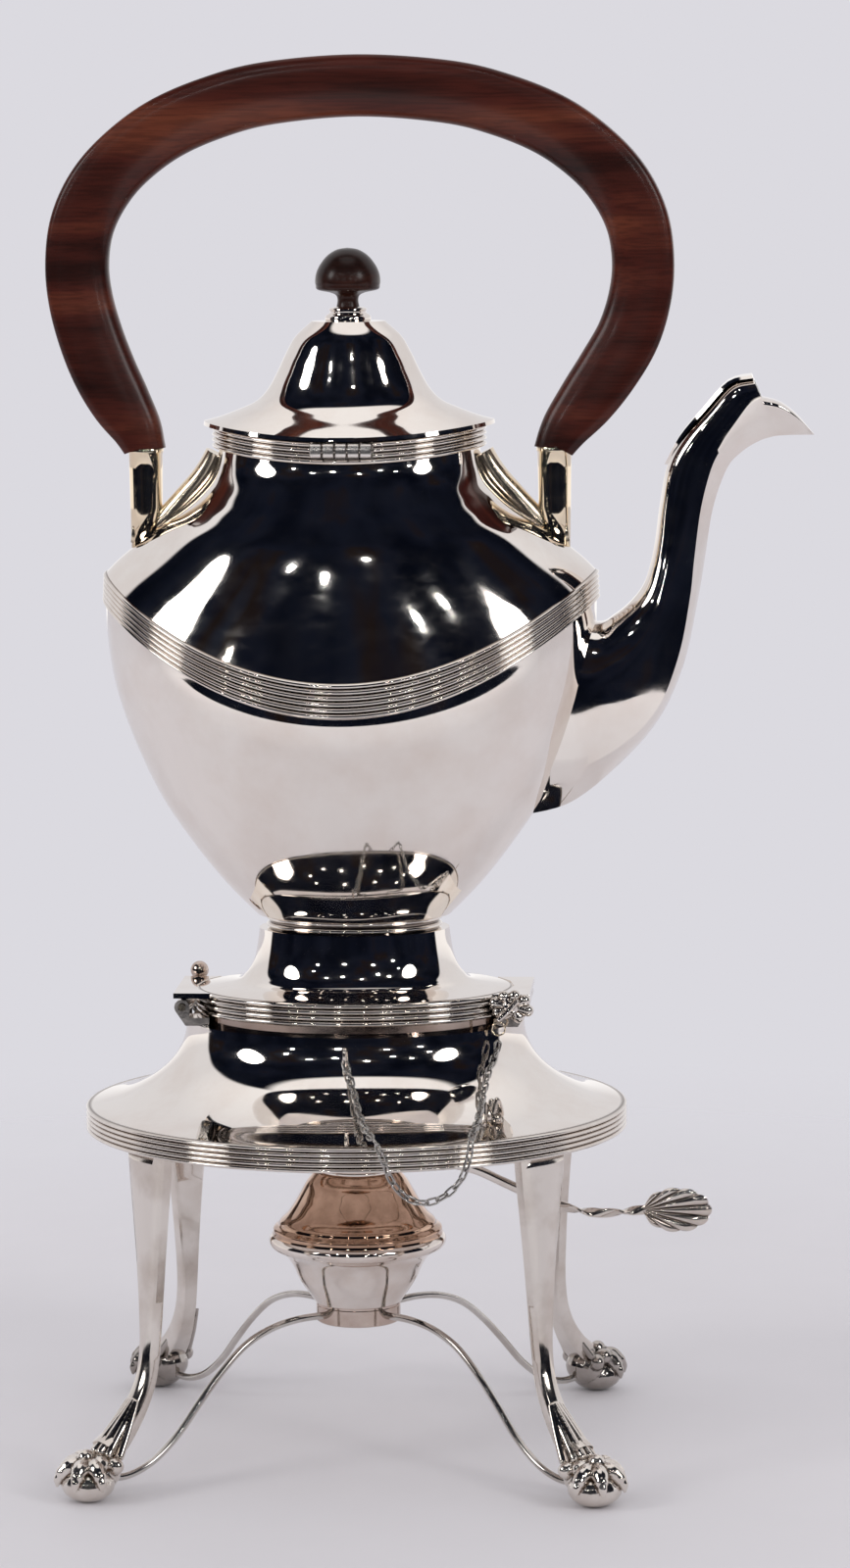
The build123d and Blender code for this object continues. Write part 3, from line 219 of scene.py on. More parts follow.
BROWN = (0.3, 0.19, 0.12)
MATERIALS = {
    "silver": metal("silver_polished", (0.9, 0.85, 0.8), (0.7, 0.57, 0.49)),
    "reeded_silver": metal("silver_reeded", (0.88, 0.83, 0.78), BROWN, gloss=(0.06, 0.16), dents=0.05),
    "warm_silver": metal("silver_warm", (0.92, 0.8, 0.62), (0.62, 0.42, 0.24), gloss=(0.05, 0.15),
                         dents=0.08),
    "tarnished_silver": metal("silver_tarnished", (0.64, 0.54, 0.48), (0.26, 0.15, 0.1), 0.7, (0.06, 0.18),
                              0.12),
    "cast_silver": metal("silver_cast", (0.8, 0.75, 0.7), BROWN, 0.45, (0.08, 0.2), 0.15),
    "rosewood": rosewood("rosewood_grip", (0.016, 0.0026, 0.0016), (0.052, 0.0088, 0.005),
                         (0.115, 0.027, 0.012)),
    "cotton": cotton(),
}
# A darker, duller silver for the wires: wear, with painted darkness standing in for the dark stripes the
# wires reflect
WORN_AND_SHADED = metal("silver_worn_and_shaded", (0.66, 0.63, 0.6), (0.22, 0.15, 0.11), 0.5, (0.1, 0.2), 0.1)
SOFT = metal("silver_brushed", (0.92, 0.88, 0.84), BROWN, 0.2, (0.22, 0.34), 0.05)
GILT = metal("silver_gilt_soft", (0.9, 0.78, 0.62), (0.66, 0.46, 0.28), gloss=(0.16, 0.26), dents=0.05)
RESERVOIR = metal("silver_reservoir", (0.86, 0.8, 0.75), (0.5, 0.33, 0.23), 0.5, (0.05, 0.14), 0.12)
# A darker copy of the cast silver for the back paws: painted shade
SHADED_CAST = metal("silver_cast_shaded", (0.5, 0.46, 0.43), (0.12, 0.09, 0.07), 0.55, (0.1, 0.24), 0.15)
KNOB_WOOD = rosewood("rosewood_knob", (0.006, 0.0022, 0.0016), (0.016, 0.0045, 0.003), (0.036, 0.01, 0.006))
CHAIN_METAL = metal("silver_oxidised", (0.5, 0.48, 0.46), (0.08, 0.065, 0.06), 0.6, (0.12, 0.3), 0.3)
COPPERY = metal("silver_worn_to_copper", (0.66, 0.45, 0.33), (0.2, 0.1, 0.055), 0.95, (0.04, 0.12), 0.14)


# ---- Rows and loops of points ----
def between(low, high, shares):
    return [tuple(p + (q - p) * s for p, q, s in zip(low, high, share)) for share in shares]


def smooth(table, steps=6):
    """More rows along a smooth curve through the given ones."""
    ends = [table[0]] + list(table) + [table[-1]]
    rows = []
    for i in range(1, len(ends) - 2):
        p0, p1, p2, p3 = ends[i - 1:i + 3]
        for k in range(steps):
            t = k / steps
            rows.append(tuple(
                0.5 * (2 * b + (c - a) * t + (2 * a - 5 * b + 4 * c - d) * t ** 2
                       + (3 * b - a - 3 * c + d) * t ** 3) for a, b, c, d in zip(p0, p1, p2, p3)))
    return rows + [tuple(table[-1])]


def inside(table, wall, drop=0):
    return [(a - wall, b - wall, *[z - drop for z in heights]) for a, b, *heights in table]


def circle(count):
    return [2 * pi * i / count for i in range(count)]


def beside(line, i):
    """The points before and after a point of an open line."""
    return line[max(i - 1, 0)], line[min(i + 1, len(line) - 1)]


def oval(a, b, end_z, front_z=None, count=ROUND):
    low = end_z if front_z is None else front_z
    return [(a * cos(t), b * sin(t), low + (end_z - low) * cos(t) ** 2) for t in circle(count)]


def ovals(table):
    return [oval(*row) for row in table]


def turned(table, x=0):
    return [[(px + x, py, pz) for px, py, pz in oval(r, r, z, count=TURN)] for r, z in table]


def reeds(bottom, top, count):
    """Rows of a reeded face with round crests, and how deep each row lies between the crests, which sets its
    painted shade.
    """
    table, grooves = [], []
    for i in range(count):
        for k in range(REED_STEPS):
            out = sin(pi * k / REED_STEPS) ** 0.6
            a, b, *z = [p + (q - p) * (i + k / REED_STEPS) / count for p, q in zip(bottom, top)]
            table.append((a + out * REED_DEPTH, b + out * REED_DEPTH, *z))
            grooves.append(max(0, 1 - 1.6 * out))
    return table + [tuple(top)], grooves + [1]


# ---- Meshes ----
def placed(name, data):
    """A new object in the scene."""
    obj = bpy.data.objects.new(name, data)
    bpy.context.scene.collection.objects.link(obj)
    return obj


def piece(name, mesh, body, slot, nodes, sharp=40, material=None):
    """A finished piece: its material, from its slot unless one is given, its body, and the CAD nodes it
    stands for, which it hides.
    """
    mesh.validate()
    mesh.set_sharp_from_angle(angle=radians(sharp))
    mesh.materials.append(material or MATERIALS[slot])
    obj = placed(name, mesh)
    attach(obj, body)
    if nodes:
        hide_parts(*nodes)
    return obj


def loft_mesh(name, loops, ring=False, grooves=None):
    """A closed mesh through loops of points, as a ring or with flat ends."""
    vertices = [Vector(p) * MM for loop in loops for p in loop]
    n, rows = len(loops[0]), len(loops)
    faces = [] if ring else [tuple(range(n))[::-1], tuple(range((rows - 1) * n, rows * n))]
    for r in range(rows if ring else rows - 1):
        low, high = r * n, (r + 1) % rows * n
        faces += [(low + i, low + (i + 1) % n, high + (i + 1) % n, high + i) for i in range(n)]
    mesh = bpy.data.meshes.new(name)
    mesh.from_pydata(vertices, [], faces)
    values = [g for g in grooves for _ in range(n)] if grooves else [0.0] * len(vertices)
    return finished(mesh, values)


def finished(mesh, grooves, weld=0):
    """Stores the depths in the grooves that set the painted shade, joins points nearer than the weld, turns
    faces outwards and smooths them.
    """
    mesh.attributes.new("groove", "FLOAT", "POINT").data.foreach_set("value", grooves)
    work = bmesh.new()
    work.from_mesh(mesh)
    if weld:
        bmesh.ops.remove_doubles(work, verts=work.verts, dist=weld)
    bmesh.ops.recalc_face_normals(work, faces=work.faces)
    for face in work.faces:
        face.smooth = True
    work.to_mesh(mesh)
    work.free()
    return mesh


def loft(name, loops, body, slot, nodes=(), ring=False, grooves=None, sharp=40, material=None):
    return piece(name, loft_mesh(name, loops, ring, grooves), body, slot, nodes, sharp, material)


def applied(obj):
    """Applies the modifiers of an object, keeping its name and body."""
    graph = bpy.context.evaluated_depsgraph_get()
    mesh = bpy.data.meshes.new_from_object(obj.evaluated_get(graph))
    obj.modifiers.clear()
    obj.data = mesh


def combine(obj, *meshes, operation="DIFFERENCE"):
    """Cuts closed meshes out of a piece, or joins them to it."""
    for mesh in meshes:
        tool = placed("tool", mesh)
        modifier = obj.modifiers.new("combine", "BOOLEAN")
        modifier.operation, modifier.solver, modifier.object = operation, "EXACT", tool
        applied(obj)
        bpy.data.objects.remove(tool)


def box_mesh(x0, x1, y0, y1, z0, z1):
    return loft_mesh("box", [[(x0, y0, z), (x1, y0, z), (x1, y1, z), (x0, y1, z)] for z in (z0, z1)])


def tube_loops(path, radii, count=16, up=UP):
    """Round sections square to a path."""
    loops = []
    points = [Vector(p) for p in path]
    for i, point in enumerate(points):
        before, after = beside(points, i)
        run = (after - before).normalized()
        side = run.cross(up).normalized()
        over = side.cross(run)
        r = radii[i] if hasattr(radii, "__len__") else radii
        loops.append([tuple(point + side * r * cos(t) + over * r * sin(t)) for t in circle(count)])
    return loops


def merge(meshes, name):
    work = bmesh.new()
    for mesh in meshes:
        work.from_mesh(mesh)
        bpy.data.meshes.remove(mesh)
    merged = bpy.data.meshes.new(name)
    work.to_mesh(merged)
    work.free()
    return merged


# ---- Kettle body ----
BOWL = between((BODY_BASE_A, BODY_BASE_B, BODY_BASE_Z, BODY_BASE_Z),
               (BODY_A, BODY_B, BAND_END_Z, BAND_FRONT_Z), [
    (0, 0, 0, 0), (0.21, 0.21, 0.1, 0.14), (0.43, 0.43, 0.23, 0.31), (0.64, 0.64, 0.378, 0.5),
    (0.82, 0.82, 0.56, 0.7), (0.94, 0.94, 0.73, 0.845), (0.99, 0.99, 0.88, 0.95), (1, 1, 1, 1),
])
BAND_HIGH = (BODY_A - BAND_LEAN, BODY_B - BAND_LEAN, BAND_END_Z + BAND_END_HEIGHT,
             BAND_FRONT_Z + BAND_FRONT_HEIGHT)
SHOULDER = between(BAND_HIGH, (MOUTH_A, MOUTH_B, MOUTH_END_Z, MOUTH_FRONT_Z), [
    (0, 0, 0, 0), (0.11, 0.11, 0.1, 0.175), (0.295, 0.26, 0.24, 0.386), (0.49, 0.435, 0.39, 0.59),
    (0.663, 0.615, 0.51, 0.725), (0.8, 0.77, 0.625, 0.82), (0.915, 0.896, 0.75, 0.9),
    (0.975, 0.968, 0.878, 0.954), (1, 1, 1, 1),
])


def body_form():
    """The whole body as one closed solid, which cuts away what would lie inside it."""
    return loft_mesh("body", ovals(smooth(BOWL) + smooth(SHOULDER) + [(MOUTH_A, MOUTH_B, RIM_END_Z)]))


def reeded(name, face, grooves, wall, body, node):
    """A reeded ring with a plain wall behind its face."""
    return loft(name, ovals(face + wall), body, "reeded_silver", [node], True, grooves + [0] * len(wall), 60)


def kettle_body():
    outer = smooth(BOWL)
    floor_row = (BODY_BASE_A - SILVER, BODY_BASE_B - SILVER, BODY_BASE_Z + SILVER)
    inner = inside(outer[1:], SILVER)[::-1] + [floor_row]
    loft("bowl_body", ovals(outer + inner), "kettle", "silver", ["bowl"])
    band, grooves = reeds(BOWL[-1], BAND_HIGH, SHOULDER_REEDS)
    back = inside([BAND_HIGH, BOWL[-1]], SILVER)
    reeded("shoulder_reeds", band, grooves, back, "kettle", "shoulder_band")
    outer = smooth(SHOULDER)
    loft("shoulder_body", ovals(outer + inside(outer, SILVER)[::-1]), "kettle", "silver", ["shoulder"], True)


def kettle_mouth():
    a, b = MOUTH_A + MOUTH_RIM_OUT - REED_DEPTH, MOUTH_B + MOUTH_RIM_OUT - REED_DEPTH
    face, grooves = reeds((a, b, MOUTH_END_Z, MOUTH_FRONT_Z), (a, b, RIM_END_Z, RIM_FRONT_Z), MOUTH_REEDS)
    a, b = MOUTH_A - SILVER, MOUTH_B - SILVER
    wall = [(a, b, RIM_END_Z, RIM_FRONT_Z), (a, b, MOUTH_END_Z, MOUTH_FRONT_Z)]
    rim = reeded("mouth_reeds", face, grooves, wall, "kettle", "mouth_rim")
    combine(rim, box_mesh(-LID_HINGE_HALF, LID_HINGE_HALF, -40, NOTCH_Y, LID_AXIS_Z - NOTCH_DROP, 300))


def kettle_foot():
    a, b = NECK_A, NECK_B
    shares = [(0, 0)]
    for centre in (0.25, 0.75):
        shares += [(centre + 0.2 * (k / 6 - 0.5) * 2, sin(pi * k / 6) ** 0.7) for k in range(7)]
    shares.append((1, 0))
    outer = [(a + BEAD * out, b + BEAD * out, NECK_Z + NECK_HEIGHT * up) for up, out in shares]
    a, b = a - NECK_WALL, b - NECK_WALL
    wall = [(a, b, NECK_Z + NECK_HEIGHT), (a, b, NECK_Z)]
    # Painted shade between and beside the beads
    grooves = [max(0, 0.8 - 1.6 * out) for up, out in shares]
    reeded("neck_beads", outer, grooves, wall, "kettle", "neck_collar")
    brim = (FOOT_A - FOOT_EDGE, FOOT_B - FOOT_EDGE, FOOT_TOP_Z)
    outer = smooth(between((FOOT_NECK_A, FOOT_NECK_B, NECK_Z), brim, [
        (0, 0, 0), (0.05, 0.05, 0.36), (0.12, 0.13, 0.6), (0.24, 0.25, 0.78), (0.42, 0.46, 0.91), (1, 1, 1)]))
    under = [(brim[0], brim[1], FOOT_TOP_Z - SILVER)] + inside(outer[4:-3], SILVER, SILVER * 0.6)[::-1]
    rows = [(a, b, NECK_Z)] + outer + under + [(a, b, NECK_Z - SILVER)]
    loft("kettle_foot_cone", ovals(rows), "kettle", "silver", ["kettle_foot"], True)
    a, b = FOOT_A - REED_DEPTH, FOOT_B - REED_DEPTH
    face, grooves = reeds((a, b, FOOT_BOTTOM_Z), (a, b, FOOT_TOP_Z), FOOT_REEDS)
    a, b = brim[0] - SILVER, brim[1] - SILVER
    seat = [brim, (brim[0], brim[1], FOOT_TOP_Z - SILVER), (a, b, FOOT_TOP_Z - SILVER), (a, b, FOOT_BOTTOM_Z)]
    reeded("foot_reeds", face, grooves, seat, "kettle", "foot_rim")


# ---- Spout ----
# Shares of the spout's reach from the end of the body's widest line: the inner edge (x, z), the outer edge
# (x, z) and the half width. Then where the side's crease lies between the edges, and how far the side has
# drawn in there.
SPOUT = [
    (-0.195, -0.062, -0.422, -1.019, 0.221, 0.73, 0.78), (0.002, -0.114, -0.138, -0.955, 0.214, 0.78, 0.8),
    (0.083, -0.078, 0.107, -0.765, 0.195, 0.87, 0.8), (0.151, -0.023, 0.289, -0.554, 0.172, 0.91, 0.78),
    (0.209, 0.049, 0.401, -0.304, 0.149, 0.88, 0.76), (0.242, 0.136, 0.464, -0.019, 0.13, 0.85, 0.8),
    (0.269, 0.256, 0.498, 0.182, 0.114, 0.8, 0.86), (0.292, 0.432, 0.536, 0.416, 0.101, 0.78, 0.88),
    (0.328, 0.614, 0.601, 0.597, 0.102, 0.74, 0.88), (0.399, 0.744, 0.672, 0.675, 0.106, 0.66, 0.88),
    (0.503, 0.867, 0.747, 0.721, 0.109, 0.54, 0.9), (0.615, 0.987, 0.805, 0.74, 0.109, 0.44, 0.92),
    (0.719, 1.013, 0.834, 0.745, 0.104, 0.36, 0.95),
]
BEAK = [
    (0.757, 0.924, 0.834, 0.745, 0.102, 0.25, 0.95), (0.839, 0.901, 0.899, 0.748, 0.088, 0.25, 0.95),
    (0.914, 0.846, 0.951, 0.748, 0.063, 0.25, 0.95), (0.99, 0.76, 1, 0.748, 0.019, 0.25, 0.95),
]
HOOD_WIDTHS = (0.006, 0.055, 0.091, 0.107, 0.11)


def spout_edges(station):
    ix, iz, ox, oz = [SPOUT_REACH * share for share in station[:4]]
    return (BODY_A + ix, BAND_END_Z + iz), (BODY_A + ox, BAND_END_Z + oz)


def spout_loop(station, wall=0, lift=0):
    """One section: a round back and cheek that draws in to a crease, then a flat facet to the keel."""
    (ix, iz), (ox, oz) = spout_edges(station)
    half, crease, fold = station[4] * SPOUT_REACH - wall, station[5], station[6]
    skip = wall / hypot(ox - ix, oz - iz)
    cheek = smooth([(0, 0.3), (0.05, 0.58), (0.14, 0.8), (0.28, 0.95), (0.45, 1),
                    (0.72, (1 + fold) / 2 + 0.03), (1, fold)], 3)
    shape = [(skip + (crease - skip) * t - lift * (1 - t) ** 4, k) for t, k in cheek]
    shape += [((crease + 1 - skip) / 2, (fold + 0.16) / 2 + 0.03), (1 - skip, 0.12)]
    side = [(ix + (ox - ix) * t, half * k, iz + (oz - iz) * t) for t, k in shape]
    return side + [(x, -y, z) for x, y, z in side[::-1]]


def kettle_spout():
    stations, beak = smooth(SPOUT), smooth(BEAK)
    tube = loft("spout_tube", [spout_loop(s) for s in stations], "kettle", "silver", ["spout"], sharp=28)
    combine(tube, loft_mesh("lip", [spout_loop(s) for s in beak]), operation="UNION")
    hollow = loft_mesh("hollow", [spout_loop(s, SILVER) for s in stations])
    trough = loft_mesh("trough", [spout_loop(s, SILVER, 0.6) for s in beak[:-4]])
    combine(tube, hollow, trough, body_form())
    tube.data.set_sharp_from_angle(angle=radians(28))
    loops = []
    for station, (width,) in zip(smooth(SPOUT[-5:], 4), smooth([(w,) for w in HOOD_WIDTHS], 4)):
        (ix, iz), (ox, oz) = spout_edges(station)
        half, length = width * SPOUT_REACH, hypot(ox - ix, oz - iz)
        nx, nz = 0.9 * (ix - ox) / length, 0.9 * (iz - oz) / length
        loops.append([(ix, -half, iz), (ix, half, iz), (ix + nx, half * 0.9, iz + nz),
                      (ix + nx, -half * 0.9, iz + nz)])
    loft("spout_throat_plate", loops, "kettle", "silver", ["spout_hood"], sharp=30)


# ---- Handle ----
BAIL = [
    (1, 0, 0), (1.05, 0.056, 0.4), (1.137, 0.128, 0.82), (1.227, 0.212, 1), (1.308, 0.308, 1.03),
    (1.36, 0.413, 1), (1.375, 0.514, 0.97), (1.348, 0.62, 1), (1.267, 0.717, 1.03), (1.138, 0.802, 1),
    (0.945, 0.883, 1), (0.704, 0.942, 0.98), (0.43, 0.981, 0.97), (0, 1, 0.94),
]


def grip_section():
    """A D section: a flat outer side with eased edges, broad cheeks and a strongly rounded inner side."""
    shape = [(0, 0), (0, 0.5), (0.004, 0.78), (0.03, 0.88), (0.09, 0.96)]
    shape += [(0.2 + 0.8 * sin(pi / 2 * k / 12) ** 1.15, cos(pi / 2 * k / 12) ** 0.62) for k in range(12)]
    shape.append((1, 0))
    return shape


def handle():
    """The bail, which leans towards the spout as the old wood does."""
    path = [(side * SOCKET_X * x + GRIP_BOW * min(1, 3 * z), SOCKET_TOP_Z + HANDLE_RISE * z, full)
            for side, half in ((1, BAIL), (-1, BAIL[-2::-1])) for x, z, full in half]
    fine = smooth(path, 8)
    loops = []
    for i, (x, z, full) in enumerate(fine):
        before, after = beside(fine, i)
        run = Vector((after[0] - before[0], 0, after[1] - before[1])).normalized()
        if i in (0, len(fine) - 1):
            run = Vector((0, 0, 1 if i == 0 else -1))
        out = Vector((run.z, 0, -run.x))
        depth = GRIP_END + (HANDLE_DEPTH - GRIP_END) * full
        half = (GRIP_END + (HANDLE_WIDTH - GRIP_END) * min(full, 1)) / 2
        side = [Vector((x, half * k, z)) + out * depth * (0.5 - t) for t, k in grip_section()]
        loops.append([tuple(p) for p in side] + [(p.x, -p.y, p.z) for p in side[-2:0:-1]])
    loft("handle_bail", loops, "kettle", "rosewood", ["handle_grip"], sharp=50)


STRAP = [(61.6, 269.6), (58.6, 269.4), (55.6, 271.4), (52.4, 274.8), (49, 278.6), (45.6, 282.4),
         (42.8, 286.2), (40.8, 289.8)]
STRAP_DEPTH = 6.5


def handle_sockets():
    """Gilt-toned tubes, each with a round strap that sweeps from under the mouth rim into the tube's foot."""
    top = SOCKET_TOP_Z
    profile = [(SOCKET_FOOT_R * 0.4, top - SOCKET_LENGTH), (SOCKET_FOOT_R, top - SOCKET_LENGTH + 3),
               (SOCKET_WAIST_R - 0.1, top - SOCKET_BORE), (SOCKET_WAIST_R + 0.05, top - 6),
               (SOCKET_TOP_R - 0.3, top - 1.6), (SOCKET_TOP_R - 0.1, top - 1.4), (SOCKET_TOP_R, top - 1),
               (SOCKET_TOP_R, top - 0.2), (SOCKET_TOP_R - 0.2, top), (TENON_R, top),
               (TENON_R, top - SOCKET_BORE)]
    line = smooth(STRAP, 6)
    for side_name, side in (("left", -1), ("right", 1)):
        loops = []
        for i, (x, z) in enumerate(line):
            share = i / (len(line) - 1)
            half, rise = 3.4 - 0.3 * sin(pi * share) + 0.9 * share ** 3, 4.2 - 1.6 * share
            (x0, z0), (x1, z1) = beside(line, i)
            run = Vector((x1 - x0, 0, z1 - z0)).normalized()
            crown = [(half * cos(pi * k / 12), rise * sin(pi * k / 12) - rise) for k in range(13)]
            shape = [(half * 0.8, -STRAP_DEPTH)] + crown + [(-half * 0.8, -STRAP_DEPTH)]
            loops.append([(side * (x + run.z * h), w, z - run.x * h) for w, h in shape])
        strap = loft("socket_strap_" + side_name, loops, "kettle", "warm_silver", sharp=60, material=GILT)
        bore = turned([(TENON_R, top - SOCKET_BORE), (TENON_R, top + 5)], side * SOCKET_X)
        combine(strap, body_form(), loft_mesh("bore", bore))
        socket = loft("socket_tube_" + side_name, turned(profile, side * SOCKET_X), "kettle", "warm_silver",
                      ["handle_socket_" + side_name], sharp=45)
        combine(socket, body_form())


# ---- Lid ----
def lid():
    brim = (LID_BRIM_A, LID_BRIM_B, LID_END_Z, LID_FRONT_Z)
    outer = between(brim, (LID_TOP_A, LID_TOP_B, LID_CROWN_Z, LID_CROWN_Z), [
        (0.006, 0.01, 0.038, 0.034), (0.145, 0.135, 0.076, 0.098), (0.335, 0.32, 0.152, 0.19),
        (0.487, 0.46, 0.228, 0.276), (0.594, 0.565, 0.345, 0.399), (0.684, 0.655, 0.517, 0.564),
        (0.758, 0.735, 0.683, 0.718), (0.852, 0.835, 0.855, 0.871), (1, 1, 1, 1)])
    outer = [brim] + smooth(outer)
    crown = [(LID_TOP_A * s, LID_TOP_B * s, LID_CROWN_Z) for s in (0.8, 0.4, 0.2)]
    inner = inside(outer[8:], SILVER, SILVER * 0.5)[::-1]
    under = (inner[-1][0], inner[-1][1], LID_END_Z, LID_FRONT_Z)
    ceiling = [(LID_TOP_A * s, LID_TOP_B * s, LID_CROWN_Z - SILVER) for s in (0.2, 0.6)]
    loft("lid_shell", ovals(outer + crown + ceiling + inner + [under]), "lid", "silver", ["lid"], True)
    a, b = MOUTH_A - SILVER - BEZEL_GAP, MOUTH_B - SILVER - BEZEL_GAP
    flange = [(a, b, RIM_END_Z - BEZEL_DEPTH, RIM_FRONT_Z - BEZEL_DEPTH), (a, b, LID_END_Z, LID_FRONT_Z)]
    loft("lid_flange", ovals(flange + inside(flange, SILVER)[::-1]), "lid", "silver", ["lid_bezel"], True)


def knob():
    profile = smooth([(1, 0), (1.02, 0.2), (0.97, 0.4), (0.8, 0.6), (0.83, 0.85), (0.52, 1)], 4)
    base = between((0, LID_CROWN_Z), (KNOB_COLLAR_R / 1.02, KNOB_Z), profile)
    loft("knob_base", turned(base), "lid", "silver", ["knob_collar"])
    profile = smooth([(0.35, 0), (0.32, 0.1), (0.36, 0.19), (0.55, 0.24), (0.93, 0.29), (0.985, 0.37),
                      (1, 0.45), (0.96, 0.58), (0.84, 0.72), (0.62, 0.87), (0.33, 0.97), (0.02, 1)], 4)
    button = [(KNOB_R * min(r, 1), KNOB_Z + KNOB_HEIGHT * min(z, 1)) for r, z in profile]
    loft("knob_button", turned(button), "lid", "rosewood", ["knob"], sharp=60, material=KNOB_WOOD)


# ---- Stand ----
PLATE = (PLATE_A - PLATE_EDGE, PLATE_B - PLATE_EDGE, RIM_TOP_Z)
DOME = between(PLATE, (STAND_TOP_A, STAND_TOP_B, STAND_TOP_Z), [
    (0, 0, 0), (0.3, 0.3, 0.1), (0.55, 0.555, 0.24), (0.732, 0.737, 0.388), (0.859, 0.86, 0.541),
    (0.942, 0.94, 0.7), (0.986, 0.982, 0.85), (1, 1, 1)])
DOME_UNDER = inside(smooth(DOME), SILVER, SILVER * 0.7)[:-3]


def stand_top():
    under = DOME_UNDER + [(STAND_TOP_A - SILVER, STAND_TOP_B - SILVER, STAND_TOP_Z - SILVER)]
    a, b = COLLAR_A - COLLAR_THICK, COLLAR_B - COLLAR_THICK
    shelf = [(a, b, STAND_TOP_Z), (a, b, STAND_TOP_Z - SILVER)]
    loft("stand_plate", ovals(smooth(DOME) + shelf + under[::-1]), "stand", "silver", ["stand_dome"], True)
    a, b = PLATE_A - REED_DEPTH, PLATE_B - REED_DEPTH
    face, grooves = reeds((a, b, RIM_BOTTOM_Z), (a, b, RIM_TOP_Z), PLATE_REEDS)
    seat = under[0]
    reeded("plate_reeds", face, grooves, [PLATE, seat, (seat[0], seat[1], RIM_BOTTOM_Z)], "stand",
           "stand_rim")
    a, b = COLLAR_A, COLLAR_B
    rows = [(a, b, STAND_TOP_Z), (a, b, FOOT_BOTTOM_Z), (a - COLLAR_THICK, b - COLLAR_THICK, FOOT_BOTTOM_Z),
            (a - COLLAR_THICK, b - COLLAR_THICK, STAND_TOP_Z)]
    # The fixed values give the collar band painted shade, strongest at the top of its outer face under the
    # foot's rim
    loft("neck_band", ovals(rows), "stand", "tarnished_silver", ["stand_collar"], True, [0.5, 0.4, 0.2, 0.4])


LEG_INSET, LEG_BEARING, LEG_BOW = 2.3, radians(41), 3.6
LEG = [
    (1.09, 0, 18, 4.6), (0.9, 0, 15, 4.5), (0.78, 0, 12.6, 4.4), (0.62, 0, 9.6, 4.3),
    (0.46, 0.01, 7.2, 4.2), (0.32, 0.04, 5.6, 4.2), (0.21, 0.14, 5.2, 4.6), (0.12, 0.37, 5.8, 5.2),
    (0.045, 0.7, 7.2, 6), (0, 1, 8.4, 6.6),
]


def corner(loops, sx, sy):
    return [[(sx * x, sy * y, z) for x, y, z in loop] for loop in loops]


def paw_middle(sy):
    return (PAW_X, PAW_Y) if sy < 0 else (PAW_X - BACK_INSET, PAW_Y)


def leg_loops(sy):
    a, b = [half - SILVER - LEG_INSET for half in PLATE[:2]]
    top_x, top_y = a * cos(LEG_BEARING), b * sin(LEG_BEARING)
    heel_x, heel_y = [middle - HEEL_BACK * DIAGONAL for middle in paw_middle(sy)]
    path = []
    for up, sweep, breadth, thick in smooth(LEG, 6):
        drop = max(0, 1 - up) * (1 - sweep)
        path.append((top_x + (heel_x - top_x) * sweep, top_y + LEG_BOW * drop + (heel_y - top_y) * sweep,
                     PAW_HEEL_Z + (RIM_BOTTOM_Z - PAW_HEEL_Z) * up, breadth, thick))
    loops = []
    for i, (x, y, z, breadth, thick) in enumerate(path):
        above, below = beside(path, i)
        steep = atan2(hypot(below[0] - above[0], below[1] - above[1]), above[2] - below[2]) if i else 0.0
        out_x, out_z = thick / 2 * cos(steep) * DIAGONAL, thick / 2 * sin(steep)
        wide = breadth / 2 * DIAGONAL
        shape = [(-1, -0.86), (-1, 0.86), (-0.75, 1), (0.5, 1), (0.8, 0.88), (1, 0.5), (1.1, 0), (1, -0.5),
                 (0.8, -0.88), (0.5, -1), (-0.75, -1)]
        loops.append([(x + o * out_x - w * wide, y + o * out_x + w * wide, z + o * out_z) for o, w in shape])
    return loops


def legs():
    wide = 2 * PLATE_A
    a, b = DOME_UNDER[0][:2]
    outside = [(wide, wide, 130), (wide, wide, RIM_BOTTOM_Z), (a, b, RIM_BOTTOM_Z)] + DOME_UNDER
    for name, (sx, sy) in CORNERS.items():
        leg = loft("leg_blade_" + name, corner(leg_loops(sy), sx, sy), "stand", "cast_silver",
                   ["leg_" + name], sharp=35)
        combine(leg, loft_mesh("above", ovals(outside)))


def blob(centre, size, tilt=0, turn=0):
    """An ellipsoid, tipped forward and then turned about the upright through its centre."""
    work = bmesh.new()
    bmesh.ops.create_uvsphere(work, u_segments=20, v_segments=12, radius=1)
    place = Matrix.Translation(centre) @ Matrix.Rotation(turn, 4, "Z") @ Matrix.Rotation(tilt, 4, "Y")
    for vertex in work.verts:
        vertex.co = (place @ Vector([c * s for c, s in zip(vertex.co, size)])) * MM
    mesh = bpy.data.meshes.new("blob")
    work.to_mesh(mesh)
    work.free()
    return mesh


def strand(path, radii):
    """A round tapered strand along a smooth line, closed by a ball at each end."""
    points = smooth([(*p, r) for p, r in zip(path, radii)], 5)
    first, last = Vector(path[1]) - Vector(path[0]), Vector(path[-1]) - Vector(path[-2])
    up = first.cross(last) if first.angle(last) > 0.02 else first.orthogonal()
    loops = tube_loops([p[:3] for p in points], [p[3] for p in points], 12, up=up.normalized())
    tube = loft_mesh("strand", loops)
    return [tube, blob(Vector(path[-1]), (radii[-1],) * 3), blob(Vector(path[0]), (radii[0],) * 3)]


PAW_BALL, PAW_BALL_R = Vector((0.5, 0, 5)), (7.5, 8, 5.2)


def on_ball(bearing, dip, out):
    """A point near the paw's ball: its bearing, its angle down from the top and how far it stands out."""
    b, q = radians(bearing), radians(dip)
    rx, ry, rz = [r + out for r in PAW_BALL_R]
    return PAW_BALL + Vector((rx * sin(q) * cos(b), ry * sin(q) * sin(b), rz * cos(q)))


